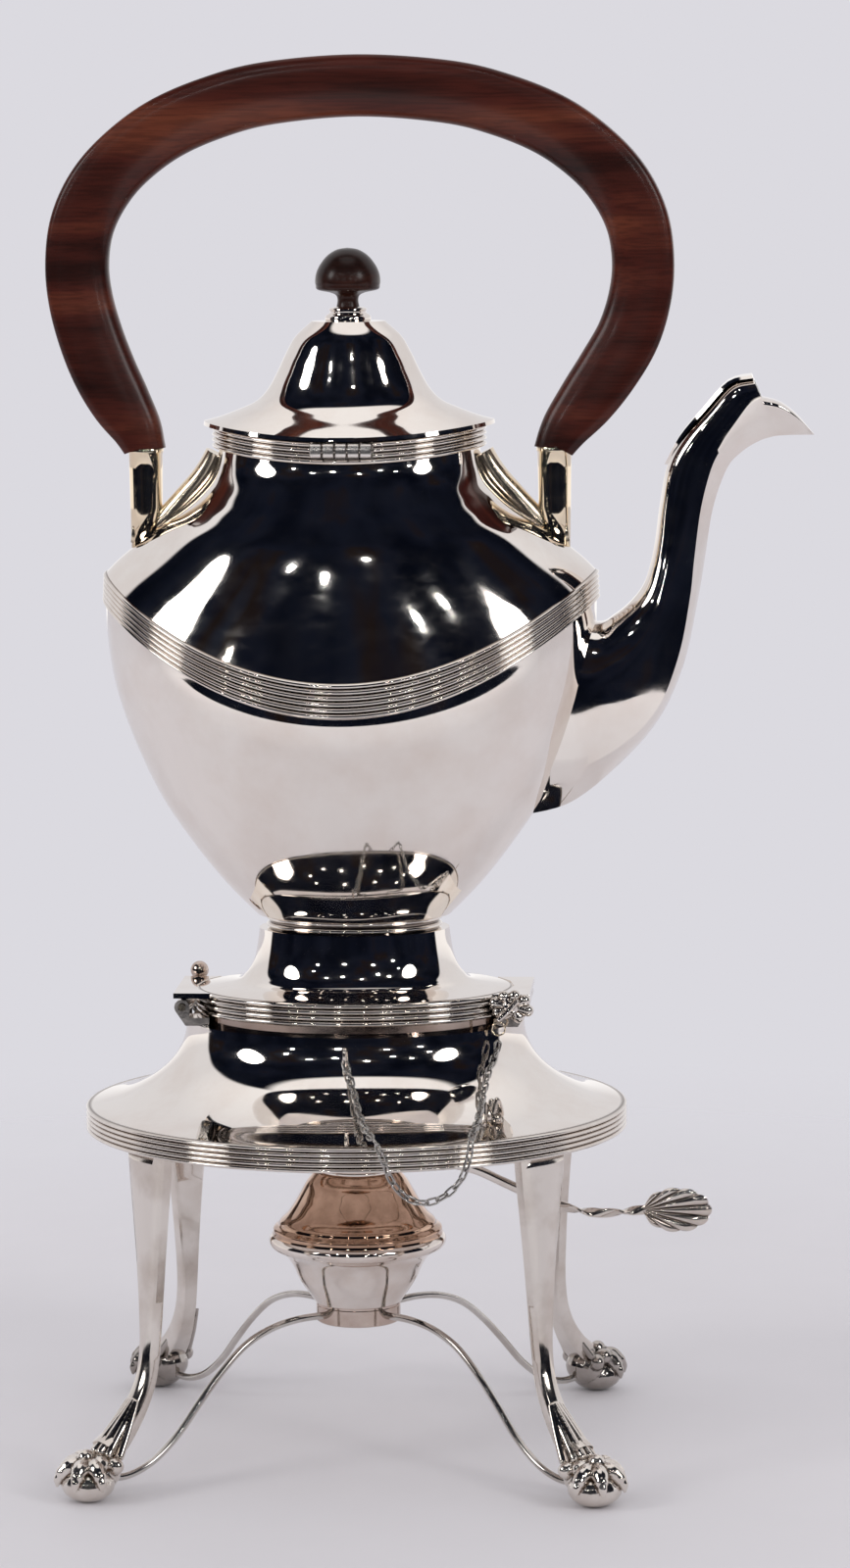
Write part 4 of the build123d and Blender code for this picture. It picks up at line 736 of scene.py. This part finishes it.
def paw_mesh():
    """A paw that points along +X from its own middle: a low ball, four clawed toes over it, rolled tufts
    behind them, and a fan of combed fur up the leg."""
    lumps = [blob(PAW_BALL, PAW_BALL_R), blob(Vector((-3.4, 0, 7.4)), (6.6, 6.4, 5.4), 0.4)]
    for bearing in (-78, -27, 27, 78):
        lumps += strand([on_ball(bearing, dip, 1) for dip in (10, 34, 56)], (1.7, 2.5, 2))
        lumps += strand([on_ball(bearing, dip, 1.1) for dip in (60, 76, 92)], (1.5, 1.3, 0.5))
    for bearing in (-100, -50, 0, 50, 100):
        b = radians(bearing)
        tuft = Vector((-3.8 + 4.9 * cos(b), 6 * sin(b), 12.4 - 2.4 * sin(b) ** 2))
        lumps.append(blob(tuft, (2.6, 2.3, 2.4), 0.3, b))
    for lane in (-2.5, -1.5, -0.5, 0.5, 1.5, 2.5):
        low = (-3 - 0.6 * lane * lane, lane * 2.2, 13.8 - 0.6 * abs(lane))
        high = (-15.6, lane * 0.9, 26.4 - 0.2 * abs(lane))
        waist = tuple((p + q) / 2 - drop for p, q, drop in zip(low, high, (0, 0, 0.4)))
        lumps += strand([low, waist, high], (1.15, 1, 0.45))
    return merge(lumps, "paw")


def paws():
    shape = paw_mesh()
    for name, (sx, sy) in CORNERS.items():
        x, y = paw_middle(sy)
        place = Matrix.Translation(Vector((sx * x, sy * y, 0)) * MM) @ Matrix.Rotation(atan2(sy, sx), 4, "Z")
        mesh = shape.copy()
        mesh.transform(place)
        # The back paws take the darker copy of the cast silver: painted shade
        paw = piece("paw_carved_" + name, mesh, "stand", "cast_silver", ["paw_" + name], 180,
                    SHADED_CAST if sy > 0 else None)
        cast(paw, 0.3)
        for vertex in paw.data.vertices:
            vertex.co.z = max(vertex.co.z, 0)


def cast(obj, grain):
    """Welds overlapping lumps into one softened casting of a given grain, with painted shade where it is
    hollow.
    """
    remesh = obj.modifiers.new("weld", "REMESH")
    remesh.mode, remesh.voxel_size, remesh.use_smooth_shade = "VOXEL", grain * MM, True
    smoothing = obj.modifiers.new("soften", "SMOOTH")
    smoothing.factor, smoothing.iterations = 0.5, 2
    applied(obj)
    mesh = obj.data
    # Painted shade: how hollow each point is, stored for the metal to darken
    hollow = [0.0] * len(mesh.vertices)
    work = bmesh.new()
    work.from_mesh(mesh)
    for vertex in work.verts:
        around = [edge.other_vert(vertex).co for edge in vertex.link_edges]
        middle = sum(around, Vector()) / len(around)
        depth = (middle - vertex.co).dot(vertex.normal) / (grain * MM)
        hollow[vertex.index] = min(1, max(0, depth * 14 - 0.1))
    work.free()
    groove = mesh.attributes.get("groove") or mesh.attributes.new("groove", "FLOAT", "POINT")
    groove.data.foreach_set("value", hollow)


STRETCHER = [
    (-0.02, 39.6), (0.12, 40.1), (0.25, 38.9), (0.37, 35.4), (0.48, 29), (0.58, 21.4), (0.68, 13.4),
    (0.79, 7.4), (0.9, 4.8), (1, 5.6), (1.06, 8),
]


def burner_stand():
    for name, (sx, sy) in CORNERS.items():
        x, y = paw_middle(sy)
        length = hypot(x, y)
        heel = length - HEEL_BACK
        line = [(RING_R + (heel - RING_R) * share, z) for share, z in STRETCHER]
        path = [(sx * x / length * s, sy * y / length * s, z) for s, z in smooth(line, 6)]
        # The wires take the darker silver, partly a painted reflection
        wire = loft("wire_" + name, tube_loops(path, WIRE_R), "stand", "cast_silver", ["stretcher_" + name],
                    material=WORN_AND_SHADED)
        wire.data.set_sharp_from_angle(angle=pi)
    r, w, low, high = RING_R, RING_WALL, RING_LOW_Z, RING_TOP_Z
    face = [(r - 0.3, low), (r, low + 0.3), (r, high - 1.1), (r - 0.15, high - 0.95), (r, high - 0.8),
            (r, high - 0.2), (r - 0.2, high), (r - w, high), (r - w, low)]
    loft("burner_seat", turned(face), "stand", "tarnished_silver", ["burner_ring"], True)


def fan_mesh(root, length, half, flutes, thick):
    """A cast fan of rounded flutes with painted shade in the valleys, spread along +X in an upright plane
    from its root.
    """
    reach, open_turn, lanes, rings = length * 0.5, radians(152), 14 * flutes, 12
    points, grooves = [], []
    for side in (-1, 1):
        for j in range(lanes + 1):
            turn = open_turn * (2 * j / lanes - 1)
            wave = abs(cos(pi * flutes * j / lanes + pi / 2)) ** 0.7
            tip = (reach + (reach * (0.93 + 0.07 * wave)) * cos(turn), half * (0.9 + 0.1 * wave) * sin(turn))
            for i in range(rings + 1):
                u = i / rings
                swell = thick * (0.35 + 0.65 * wave * min(1, 3 * u)) * (1 - u ** 5) ** 0.5
                points.append((root[0] + tip[0] * u, root[1] + side * swell, root[2] + tip[1] * u))
                grooves.append((1 - wave) ** 2 * min(1, 4 * u))
    row = rings + 1
    starts = [(k * (lanes + 1) + j) * row + i for k in (0, 1) for j in range(lanes) for i in range(rings)]
    faces = [(a, a + 1, a + row + 1, a + row) for a in starts]
    mesh = bpy.data.meshes.new("fan")
    mesh.from_pydata([Vector(p) * MM for p in points], [], faces)
    return finished(mesh, grooves, 0.02 * MM)


# ---- Burner and snuffer ----
def burner():
    neck, lip = RING_R - RING_WALL - SEAT, RING_R + 0.4
    shares = smooth([(0, 0), (0.12, 0.13), (0.336, 0.367), (0.473, 0.589), (0.641, 0.767),
                     (0.88, 0.89)], 5)
    outer = between((lip, RING_TOP_Z), (BURNER_FLANGE_R, FLANGE_Z), shares)
    r, half = BURNER_FLANGE_R, FLANGE_THICK / 2
    edge = [(r - 0.9 + 0.9 * sin(pi * k / 8) ** 0.8, FLANGE_Z + half * (k / 4 - 1)) for k in range(9)]
    inner = [(r - 3.4, COVER_Z), (r - 4, FLANGE_Z - half)]
    inner += [(p - SILVER, q + SILVER * 0.4) for p, q in outer[-3::-1]]
    foot = [(neck - SILVER, RING_LOW_Z + 1.5), (neck, RING_LOW_Z + 2), (neck, RING_TOP_Z)]
    loft("burner_reservoir", turned(foot + outer + edge + inner), "burner", "tarnished_silver",
         ["burner_bowl"], material=RESERVOIR)
    shares = smooth([(0.02, 0.04), (0.02, 0.1), (0.14, 0.15), (0.18, 0.215), (0.344, 0.32), (0.525, 0.495),
                     (0.672, 0.667), (0.82, 0.84), (1, 0.985)], 5)
    outer = [(COVER_R, COVER_Z)] + between((COVER_R, COVER_Z), (COVER_TOP_R, CAP_Z), shares)
    bore = [(COVER_TOP_R - 0.2, CAP_Z), (WICK_TUBE_R, CAP_Z), (WICK_TUBE_R, CAP_Z - SILVER)]
    inner = [(p - 1.4 * SILVER, q - SILVER * 0.4) for p, q in outer[-2:14:-1]]
    inner.append((COVER_R - 2 * SILVER, COVER_Z))
    loft("burner_dome", turned(outer + bore + inner), "burner", "tarnished_silver", ["burner_cover"], True,
         material=COPPERY)
    r, low, high = WICK_TUBE_R, CAP_Z - COVER_HEIGHT / 2, WICK_TUBE_TOP_Z
    tube = [(r, low), (r, high - 0.3), (r - 0.3, high), (r - WICK_TUBE_WALL, high), (r - WICK_TUBE_WALL, low)]
    loft("wick_sleeve", turned(tube), "burner", "tarnished_silver", ["wick_tube"], True)
    r, top = WICK_TUBE_R - WICK_TUBE_WALL - 0.05, WICK_TUBE_TOP_Z + WICK_RISE
    loft("wick_cord", turned([(r, top - 38), (r, top - 0.6), (r - 0.6, top), (r * 0.4, top)]), "burner",
         "cotton", ["wick"])


STRIP_THICK, STRIP_WIDE = 0.55, 1.35
STRIP_SECTION = ((-0.5, -1), (0.5, -1), (1, -0.75), (1, 0.75), (0.5, 1), (-0.5, 1), (-1, 0.75), (-1, -0.75))


def snuffer():
    r, z, h = CAP_R, CAP_Z, CAP_HEIGHT
    dome = smooth([(r, z + h * 0.6), (r - 0.5, z + h * 0.74), (r - 2.2, z + h * 0.87), (4.5, z + h * 0.985),
                   (0.6, z + h)], 5)
    outer = [(r, z), (r + 0.3, z + 0.4), (r + 0.3, z + 1.2), (r, z + 1.6)] + dome
    inner = [(p * 0.9, q - SILVER) for p, q in dome[::-1]] + [(r - SILVER, z)]
    loft("snuffer_dome", turned(outer + inner), "snuffer", "silver", ["snuffer_cap"], True)
    strip = smooth([
        (-0.02, 0, 0), (0.21, 0.12, 0), (0.325, 0.25, 0), (0.43, 0.48, 0), (0.54, 0.72, 0), (0.65, 0.91, 0),
        (0.7, 0.99, 30), (0.745, 1.03, 90), (0.785, 1.06, 150), (0.825, 1.07, 180), (0.87, 1.06, 210),
        (0.915, 1.04, 270), (0.955, 1.02, 330), (1, 1, 360)], 5)
    start = CAP_Z + CAP_HEIGHT * 0.4
    line = between((CAP_R, start), (LEAF_X, LEAF_Z), strip)
    loops = []
    for i, (x, zz) in enumerate(line):
        (x0, z0), (x1, z1) = beside(line, i)
        tilt, spin = atan2(z1 - z0, x1 - x0), radians(strip[i][2])
        loop = []
        for u, v in STRIP_SECTION:
            side = u * STRIP_THICK * cos(spin) - v * STRIP_WIDE * sin(spin)
            up = u * STRIP_THICK * sin(spin) + v * STRIP_WIDE * cos(spin)
            loop.append((x - up * sin(tilt), side, zz + up * cos(tilt)))
        loops.append(loop)
    loft("snuffer_strip", loops, "snuffer", "cast_silver", ["snuffer_handle"], sharp=50)
    leaf = fan_mesh((LEAF_X - 1, 0, LEAF_Z), LEAF_LENGTH, LEAF_HALF, 9, 1.2)
    piece("snuffer_palmette", leaf, "snuffer", "cast_silver", ["snuffer_leaf"], sharp=80)


# ---- Hinge pins and chains ----
HEAD_Y = -(HINGE_HALF + SEAT)
EYE = (HINGE_X - 6.1, HEAD_Y - 5.6, HINGE_Z - 4.3)
CHAIN_ROUTE = [
    (42.4, -21.2, 122.4), (41.6, -25, 119.4), (40.2, -31, 116.2), (39.2, -40, 111.6), (38.6, -51, 107.4),
    (38, -60, 105.4), (37.2, -65.4, 103.8), (36.6, -67.6, 98.6), (34.4, -68.4, 92.6), (30, -69.4, 88.2),
    (24.6, -70.4, 86.4), (19.4, -71.4, 88.2), (15.6, -72.2, 92.8), (13.2, -72.6, 99), (11, -71.6, 103.6),
    (8.4, -66, 105), (5.6, -56, 107.8), (3.4, -47, 111.8), (1.4, -40.6, 116.4), (0, -38.2, 119.6),
]
LINK_LENGTH, LINK_WIDTH, LINK_WIRE, LINK_PITCH = 4.3, 2.5, 0.7, 2.85
PIN_RING_R, PIN_RING_WIRE, PIN_RING_DROP = 1.87, 0.27, 0.55
STAPLE_R, STAPLE_WIRE, STAPLE_STRETCH, STAPLE_LEAN = 2.0, 0.42, 1.5, 0.35
STAPLE_AT = Vector((0, -37.4, 120.4))


def link_mesh(place):
    """A stadium-shaped link of round wire, along its own X."""
    half, r = (LINK_LENGTH - LINK_WIDTH) / 2, (LINK_WIDTH - LINK_WIRE) / 2
    line = [(half + r * cos(t), r * sin(t)) for t in [radians(a) for a in range(-90, 91, 30)]]
    line += [(-half + r * cos(t), r * sin(t)) for t in [radians(a) for a in range(90, 271, 30)]]
    loops = []
    for i, (x, y) in enumerate(line):
        (x0, y0), (x1, y1) = line[i - 1], line[(i + 1) % len(line)]
        out = Vector((y1 - y0, x0 - x1, 0)).normalized()
        loops.append([tuple(place @ (Vector((x, y, 0)) + out * LINK_WIRE / 2 * cos(a)
                                     + Vector((0, 0, LINK_WIRE / 2 * sin(a))))) for a in circle(6)])
    return loft_mesh("link", loops, ring=True)


def chain(name, node, side):
    fine = smooth(CHAIN_ROUTE, 24)
    marks = [Vector(p) for p in fine]
    travel = [0]
    for a, b in zip(marks, marks[1:]):
        travel.append(travel[-1] + (b - a).length)
    count = int(travel[-1] / LINK_PITCH)
    turn = Matrix.Rotation(0 if side > 0 else pi, 4, "Z")
    meshes = []
    for i in range(count):
        at = travel[-1] * (i + 0.5) / count
        k = max(j for j, t in enumerate(travel) if t <= at)
        share = (at - travel[k]) / (travel[k + 1] - travel[k])
        point, run = marks[k].lerp(marks[k + 1], share), (marks[k + 1] - marks[k]).normalized()
        up = UP if abs(run.z) < 0.9 else Vector((0, 1, 0))
        over = run.cross(up).normalized()
        basis = Matrix((run, over.cross(run), over)).transposed().to_4x4()
        spin = Matrix.Rotation(radians(45 + 90 * (i % 2)), 4, "X")
        meshes.append(link_mesh(turn @ Matrix.Translation(point) @ basis @ spin))
    mesh = merge(meshes, name)
    mesh.materials.append(CHAIN_METAL)
    obj = placed(name, mesh)
    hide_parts(node)
    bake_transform(obj)


def ring_mesh(centre, radius, wire, turn=0):
    """A round wire ring in an upright plane, turned about Z."""
    axis = Vector((cos(radians(turn)), sin(radians(turn)), 0))
    normal = axis.cross(UP)
    loops = []
    for t in circle(28):
        out = axis * cos(t) + UP * sin(t)
        loops.append([tuple(Vector(centre) + out * (radius + wire * cos(a)) + normal * wire * sin(a))
                      for a in circle(10)])
    return loft_mesh("ring", loops, ring=True)


def shell_head():
    """The right pin's cast head: seven rounded lobes round a hub, with an arm down to the ring."""
    hub = Vector((45.6, HEAD_Y - 2, HINGE_Z + 0.8))
    lumps = [blob(hub, (2.6, 1.9, 2.4))]
    for angle, reach in ((165, 5), (208, 4.4), (118, 4.2), (72, 4.2), (28, 5), (-15, 5.6), (-58, 4.6)):
        out = Vector((cos(radians(angle)), 0, sin(radians(angle)) * 0.86))
        lumps += strand([hub + out * reach * s + Vector((0, 0.8 * s * s, 0)) for s in (0.2, 0.6, 0.9)],
                        (1, 1.35, 1.75))
    x, y, z = EYE
    lumps += strand([hub + Vector((1.8, -1.6, 1.8)), hub + Vector((-0.8, -2.8, -1)),
                     Vector((x, y, z + 1.9))], (0.85, 0.8, 0.7))
    cast(piece("right_pin_shell", merge(lumps, "shell"), "right_pin", "warm_silver", ["right_pin_head"], 180,
               MATERIALS["cast_silver"]), 0.17)


def ball_head():
    """The left pin's head: a ball that stands up over the lug behind, on an arm that also holds the ring."""
    x, y, z = EYE
    top = Vector((-47, 18.3, HINGE_Z + 5.2))
    lumps = strand([Vector((-HINGE_X, 15.4, HINGE_Z)), Vector((-HINGE_X + 0.4, 18.3, HINGE_Z + 0.4)),
                    top - Vector((1.2, 0, 2))], (1.6, 1.5, 0.9))
    lumps += strand([Vector((-HINGE_X + 0.6, 18.3, HINGE_Z)), Vector((-x, -y, z + 1.9))], (1, 0.7))
    lumps.append(blob(top, (2.7, 2.7, 2.7)))
    cast(piece("left_pin_ball", merge(lumps, "ball"), "left_pin", "warm_silver", ["left_pin_head"], 180,
               MATERIALS["tarnished_silver"]), 0.2)


def staples():
    """Upright oval loops on the stand's neck that the chains hang from."""
    for name, turn in (("front", 0), ("back", pi)):
        mesh = ring_mesh((0, 0, 0), STAPLE_R, STAPLE_WIRE, 90)
        mesh.transform(Matrix.Rotation(turn, 4, "Z") @ Matrix.Translation(STAPLE_AT * MM)
                       @ Matrix.Rotation(STAPLE_LEAN, 4, "X") @ Matrix.Diagonal((1, 1, STAPLE_STRETCH, 1)))
        piece("staple_loop_" + name, mesh, "stand", "cast_silver", ["chain_anchor_" + name], 180)


def squared(angle, power=3.2):
    """Divides a radius so that a circle becomes a square with well rounded corners."""
    return (abs(cos(angle)) ** power + abs(sin(angle)) ** power) ** (1 / power)


def lid_hinge():
    """Five square-faced barrels with painted shade on their ends at the joints between them, three on the rim
    and two on the lid.
    """
    knuckle, gap, r = 3.5, 0.14, 2.05
    start = -2.5 * knuckle
    for owner, body, node, slots in (("rim", "kettle", "rim_knuckles", (0, 2, 4)),
                                     ("lid", "lid", "lid_knuckles", (1, 3))):
        meshes = []
        for i in slots:
            low, high = start + i * knuckle + gap, start + (i + 1) * knuckle - gap
            rows = ((low, 0.3), (low, r - 0.25), (low + 0.25, r), (high - 0.25, r), (high, r - 0.25),
                    (high, 0.3))
            loops = [[(x, LID_AXIS_Y + q * cos(t) / squared(t), LID_AXIS_Z + q * sin(t) / squared(t))
                      for t in circle(28)] for x, q in rows]
            # The end rows of each barrel are darkened: painted shade in the joints
            meshes.append(loft_mesh("barrel", loops, grooves=[1, 0.9, 0.1, 0.1, 0.9, 1]))
            bottom, top = (-2.2, 0.8) if owner == "rim" else (-0.8, 2)
            meshes.append(box_mesh(low, high, LID_AXIS_Y + 0.6, LID_AXIS_Y + 3.2, LID_AXIS_Z + bottom,
                                   LID_AXIS_Z + top))
        piece(owner + "_hinge_barrels", merge(meshes, owner), body, "silver", [node], 35, SOFT)


def pin_rings():
    x, y, z = EYE
    for pin, turn in (("right_pin", 0), ("left_pin", pi)):
        mesh = ring_mesh((x, y, z - PIN_RING_DROP), PIN_RING_R, PIN_RING_WIRE)
        mesh.transform(Matrix.Rotation(turn, 4, "Z"))
        piece(pin + "_wire_ring", mesh, pin, "warm_silver", [pin + "_ring"])


def carried_nodes():
    """CAD nodes whose shape is right take their slot's finer material, and the lugs match the foot's brim."""
    for entry in frame["record"]["subparts"]:
        node = frame["nodes"][entry["node"]]
        if node.hide_render:
            continue
        slot = "silver" if entry["node"].startswith("foot_lug") else entry["material_slot"]
        node.data.materials.clear()
        node.data.materials.append(MATERIALS[slot])


# ---- Studio ----
PHOTO_HEIGHT, FOCAL_PX = 1600, 5300.0
AZIMUTH, ELEVATION, ROLL = radians(4), radians(7.55), radians(-0.5)
DISTANCE, TARGET_Z, TARGET_RIGHT = 1487.4, 193.2, 20.6


def camera():
    forward = Vector((-sin(AZIMUTH) * cos(ELEVATION), cos(AZIMUTH) * cos(ELEVATION), -sin(ELEVATION)))
    right = Vector((cos(AZIMUTH), sin(AZIMUTH), 0))
    up = right.cross(forward)
    side, top = right * cos(ROLL) + up * sin(ROLL), up * cos(ROLL) - right * sin(ROLL)
    target = Vector((0, 0, TARGET_Z)) + right * TARGET_RIGHT
    data = bpy.data.cameras.new("photo_camera")
    data.sensor_fit, data.sensor_height = "VERTICAL", 36.0
    data.lens = FOCAL_PX / PHOTO_HEIGHT * data.sensor_height
    data.clip_start, data.clip_end = 0.05, 50.0
    obj = placed("photo_camera", data)
    turn = Matrix((side, top, -forward)).transposed().to_4x4()
    obj.matrix_world = Matrix.Translation((target - forward * DISTANCE) * MM) @ turn
    bpy.context.scene.camera = obj


BACKDROP = (0.71, 0.7, 0.745)


def world():
    """Pale for the camera, soft white for diffuse light, and for gloss a pale tent that is open in front to a
    dark room."""
    studio = bpy.data.worlds.new("studio")
    studio.use_nodes = True
    bpy.context.scene.world = studio
    bpy.context.scene.view_settings.view_transform = "Standard"
    tree = studio.node_tree
    tree.nodes.clear()
    place = add(tree, "ShaderNodeTexCoord").outputs["Generated"]
    axes = add(tree, "ShaderNodeSeparateXYZ", Vector=place).outputs
    # Shares, from 0 to 1, of the way from bottom to top and from back to front of the sky
    height = shifted(tree, axes["Z"], 0.5, 0.5)
    front = ramp(tree, shifted(tree, axes["Y"], -0.5, 0.5), (0.425, 0), (0.445, 1))
    low = ramp(tree, height, (0.3, 0), (0.32, 1))
    high = ramp(tree, height, (0.955, 1), (0.965, 0))
    dark = mix(tree, 1, mix(tree, 1, front, low, "MULTIPLY"), high, "MULTIPLY")
    cloud = add(tree, "ShaderNodeTexNoise", Vector=place, Scale=2.6, Detail=3, Roughness=0.5)
    room = ramp(tree, cloud.outputs["Fac"], (0.4, (0.002, 0.003, 0.007)), (0.58, (0.006, 0.008, 0.016)),
                (0.66, (0.011, 0.007, 0.006)), (0.74, (0.012, 0.015, 0.025)))
    tent = ramp(tree, height, (0.44, (1.14, 1.12, 1.11)), (0.58, (0.76, 0.75, 0.77)),
                (0.8, (0.76, 0.75, 0.77)), (0.97, (0.96, 0.94, 0.94)))
    path = add(tree, "ShaderNodeLightPath").outputs
    lit = mix(tree, path["Is Glossy Ray"], (0.8, 0.8, 0.83), mix(tree, dark, tent, room))
    shader = add(tree, "ShaderNodeBackground", Color=mix(tree, path["Is Camera Ray"], lit, BACKDROP))
    add(tree, "ShaderNodeOutputWorld", Surface=shader.outputs["Background"])


def shifted(tree, value, factor, offset):
    node = add(tree, "ShaderNodeMath", operation="MULTIPLY_ADD")
    for socket, part in zip(node.inputs, (value, factor, offset)):
        put(tree, socket, part)
    return node.outputs[0]


FLOOR_FRONT, FLOOR_SIDE, FLOOR_BACK = -650.0, 2200.0, 2200.0
FADE_START, FADE_END = 0.30, 0.60


def floor():
    """A pale floor that fades into the backdrop all round, so that every side looks the same. Its front edge
    is where the silver begins to show the room."""
    material, tree, shader = node_material("studio_card", Roughness=0.6, Specular_IOR_Level=0.15)
    place = add(tree, "ShaderNodeTexCoord").outputs["Object"]
    depth = shifted(tree, add(tree, "ShaderNodeSeparateXYZ", Vector=place).outputs["Y"], 0.45, 0.3)
    # Painted light and shade: the floor is darker a little in front of the object, a bit lighter under it,
    # and lighter at the front edge and towards the back
    painted_floor_light = ramp(tree, depth, (0.02, (0.78, 0.76, 0.765)), (0.18, (0.65, 0.63, 0.645)),
                (0.3, (0.69, 0.665, 0.685)), (1, (0.8, 0.79, 0.825)))
    mottle = ramp(tree, noise(tree, 9, 4, 0.6), (0.3, 0.97), (0.7, 1))
    put(tree, shader.inputs["Base Color"], mix(tree, 1, painted_floor_light, mottle, "MULTIPLY"))
    reach = add(tree, "ShaderNodeVectorMath", operation="LENGTH")
    put(tree, reach.inputs[0], place)
    fade = ramp(tree, reach.outputs["Value"], (FADE_START, 1), (FADE_END, 0))
    seen = add(tree, "ShaderNodeLightPath").outputs["Is Camera Ray"]
    clear = add(tree, "ShaderNodeBsdfTransparent").outputs["BSDF"]
    both = add(tree, "ShaderNodeMixShader", Fac=mix(tree, seen, (1, 1, 1), fade))
    for i, part in ((1, clear), (2, shader.outputs["BSDF"])):
        put(tree, both.inputs[i], part)
    put(tree, tree.nodes["Material Output"].inputs["Surface"], both.outputs["Shader"])
    points = [(-FLOOR_SIDE, FLOOR_FRONT), (FLOOR_SIDE, FLOOR_FRONT), (FLOOR_SIDE, FLOOR_BACK),
              (-FLOOR_SIDE, FLOOR_BACK)]
    mesh = bpy.data.meshes.new("card")
    mesh.from_pydata([Vector((x, y, -0.05)) * MM for x, y in points], [], [(0, 1, 2, 3)])
    mesh.materials.append(material)
    obj = placed("studio_card", mesh)


def lamp(name, place, size, power):
    """A soft elliptical lamp that points at the object."""
    data = bpy.data.lights.new(name, "AREA")
    data.shape, data.size, data.size_y, data.energy = "ELLIPSE", *size, power
    obj = placed(name, data)
    obj.location = place
    obj.rotation_euler = (AIM - Vector(place)).to_track_quat("-Z", "Y").to_euler()
    obj.visible_camera = False


# All in metres and watts
AIM = Vector((0, 0, 0.2))
CEILING_Y, CEILING_SIZE, CEILING_POWER = -2.6, (0.11, 0.05), 1.1
CEILING = ((-1.9, 1.5), (-1.2, 2), (-0.5, 1.7), (0.25, 2.1), (0.9, 1.6), (1.5, 2), (2.1, 1.4),
           (-1.6, 0.9), (-0.4, 0.75), (0.7, 0.85), (1.7, 0.7))


def lights():
    """Two windows of the dark room, and its small ceiling lights."""
    lamp("window_left", (-1.7, -0.95, 1.15), (0.62, 0.9), 9)
    lamp("window_right", (1.55, -1.25, 1.15), (0.55, 0.9), 8)
    for i, (x, z) in enumerate(CEILING):
        lamp(f"ceiling_{i}", (x, CEILING_Y, z), CEILING_SIZE, CEILING_POWER)


camera()
world()
floor()
lights()
kettle_body()
kettle_mouth()
kettle_foot()
kettle_spout()
handle()
handle_sockets()
lid()
knob()
stand_top()
legs()
paws()
burner_stand()
burner()
snuffer()
chain("chain_links_front", "chain_front", 1)
chain("chain_links_back", "chain_back", -1)
pin_rings()
shell_head()
ball_head()
staples()
lid_hinge()
carried_nodes()
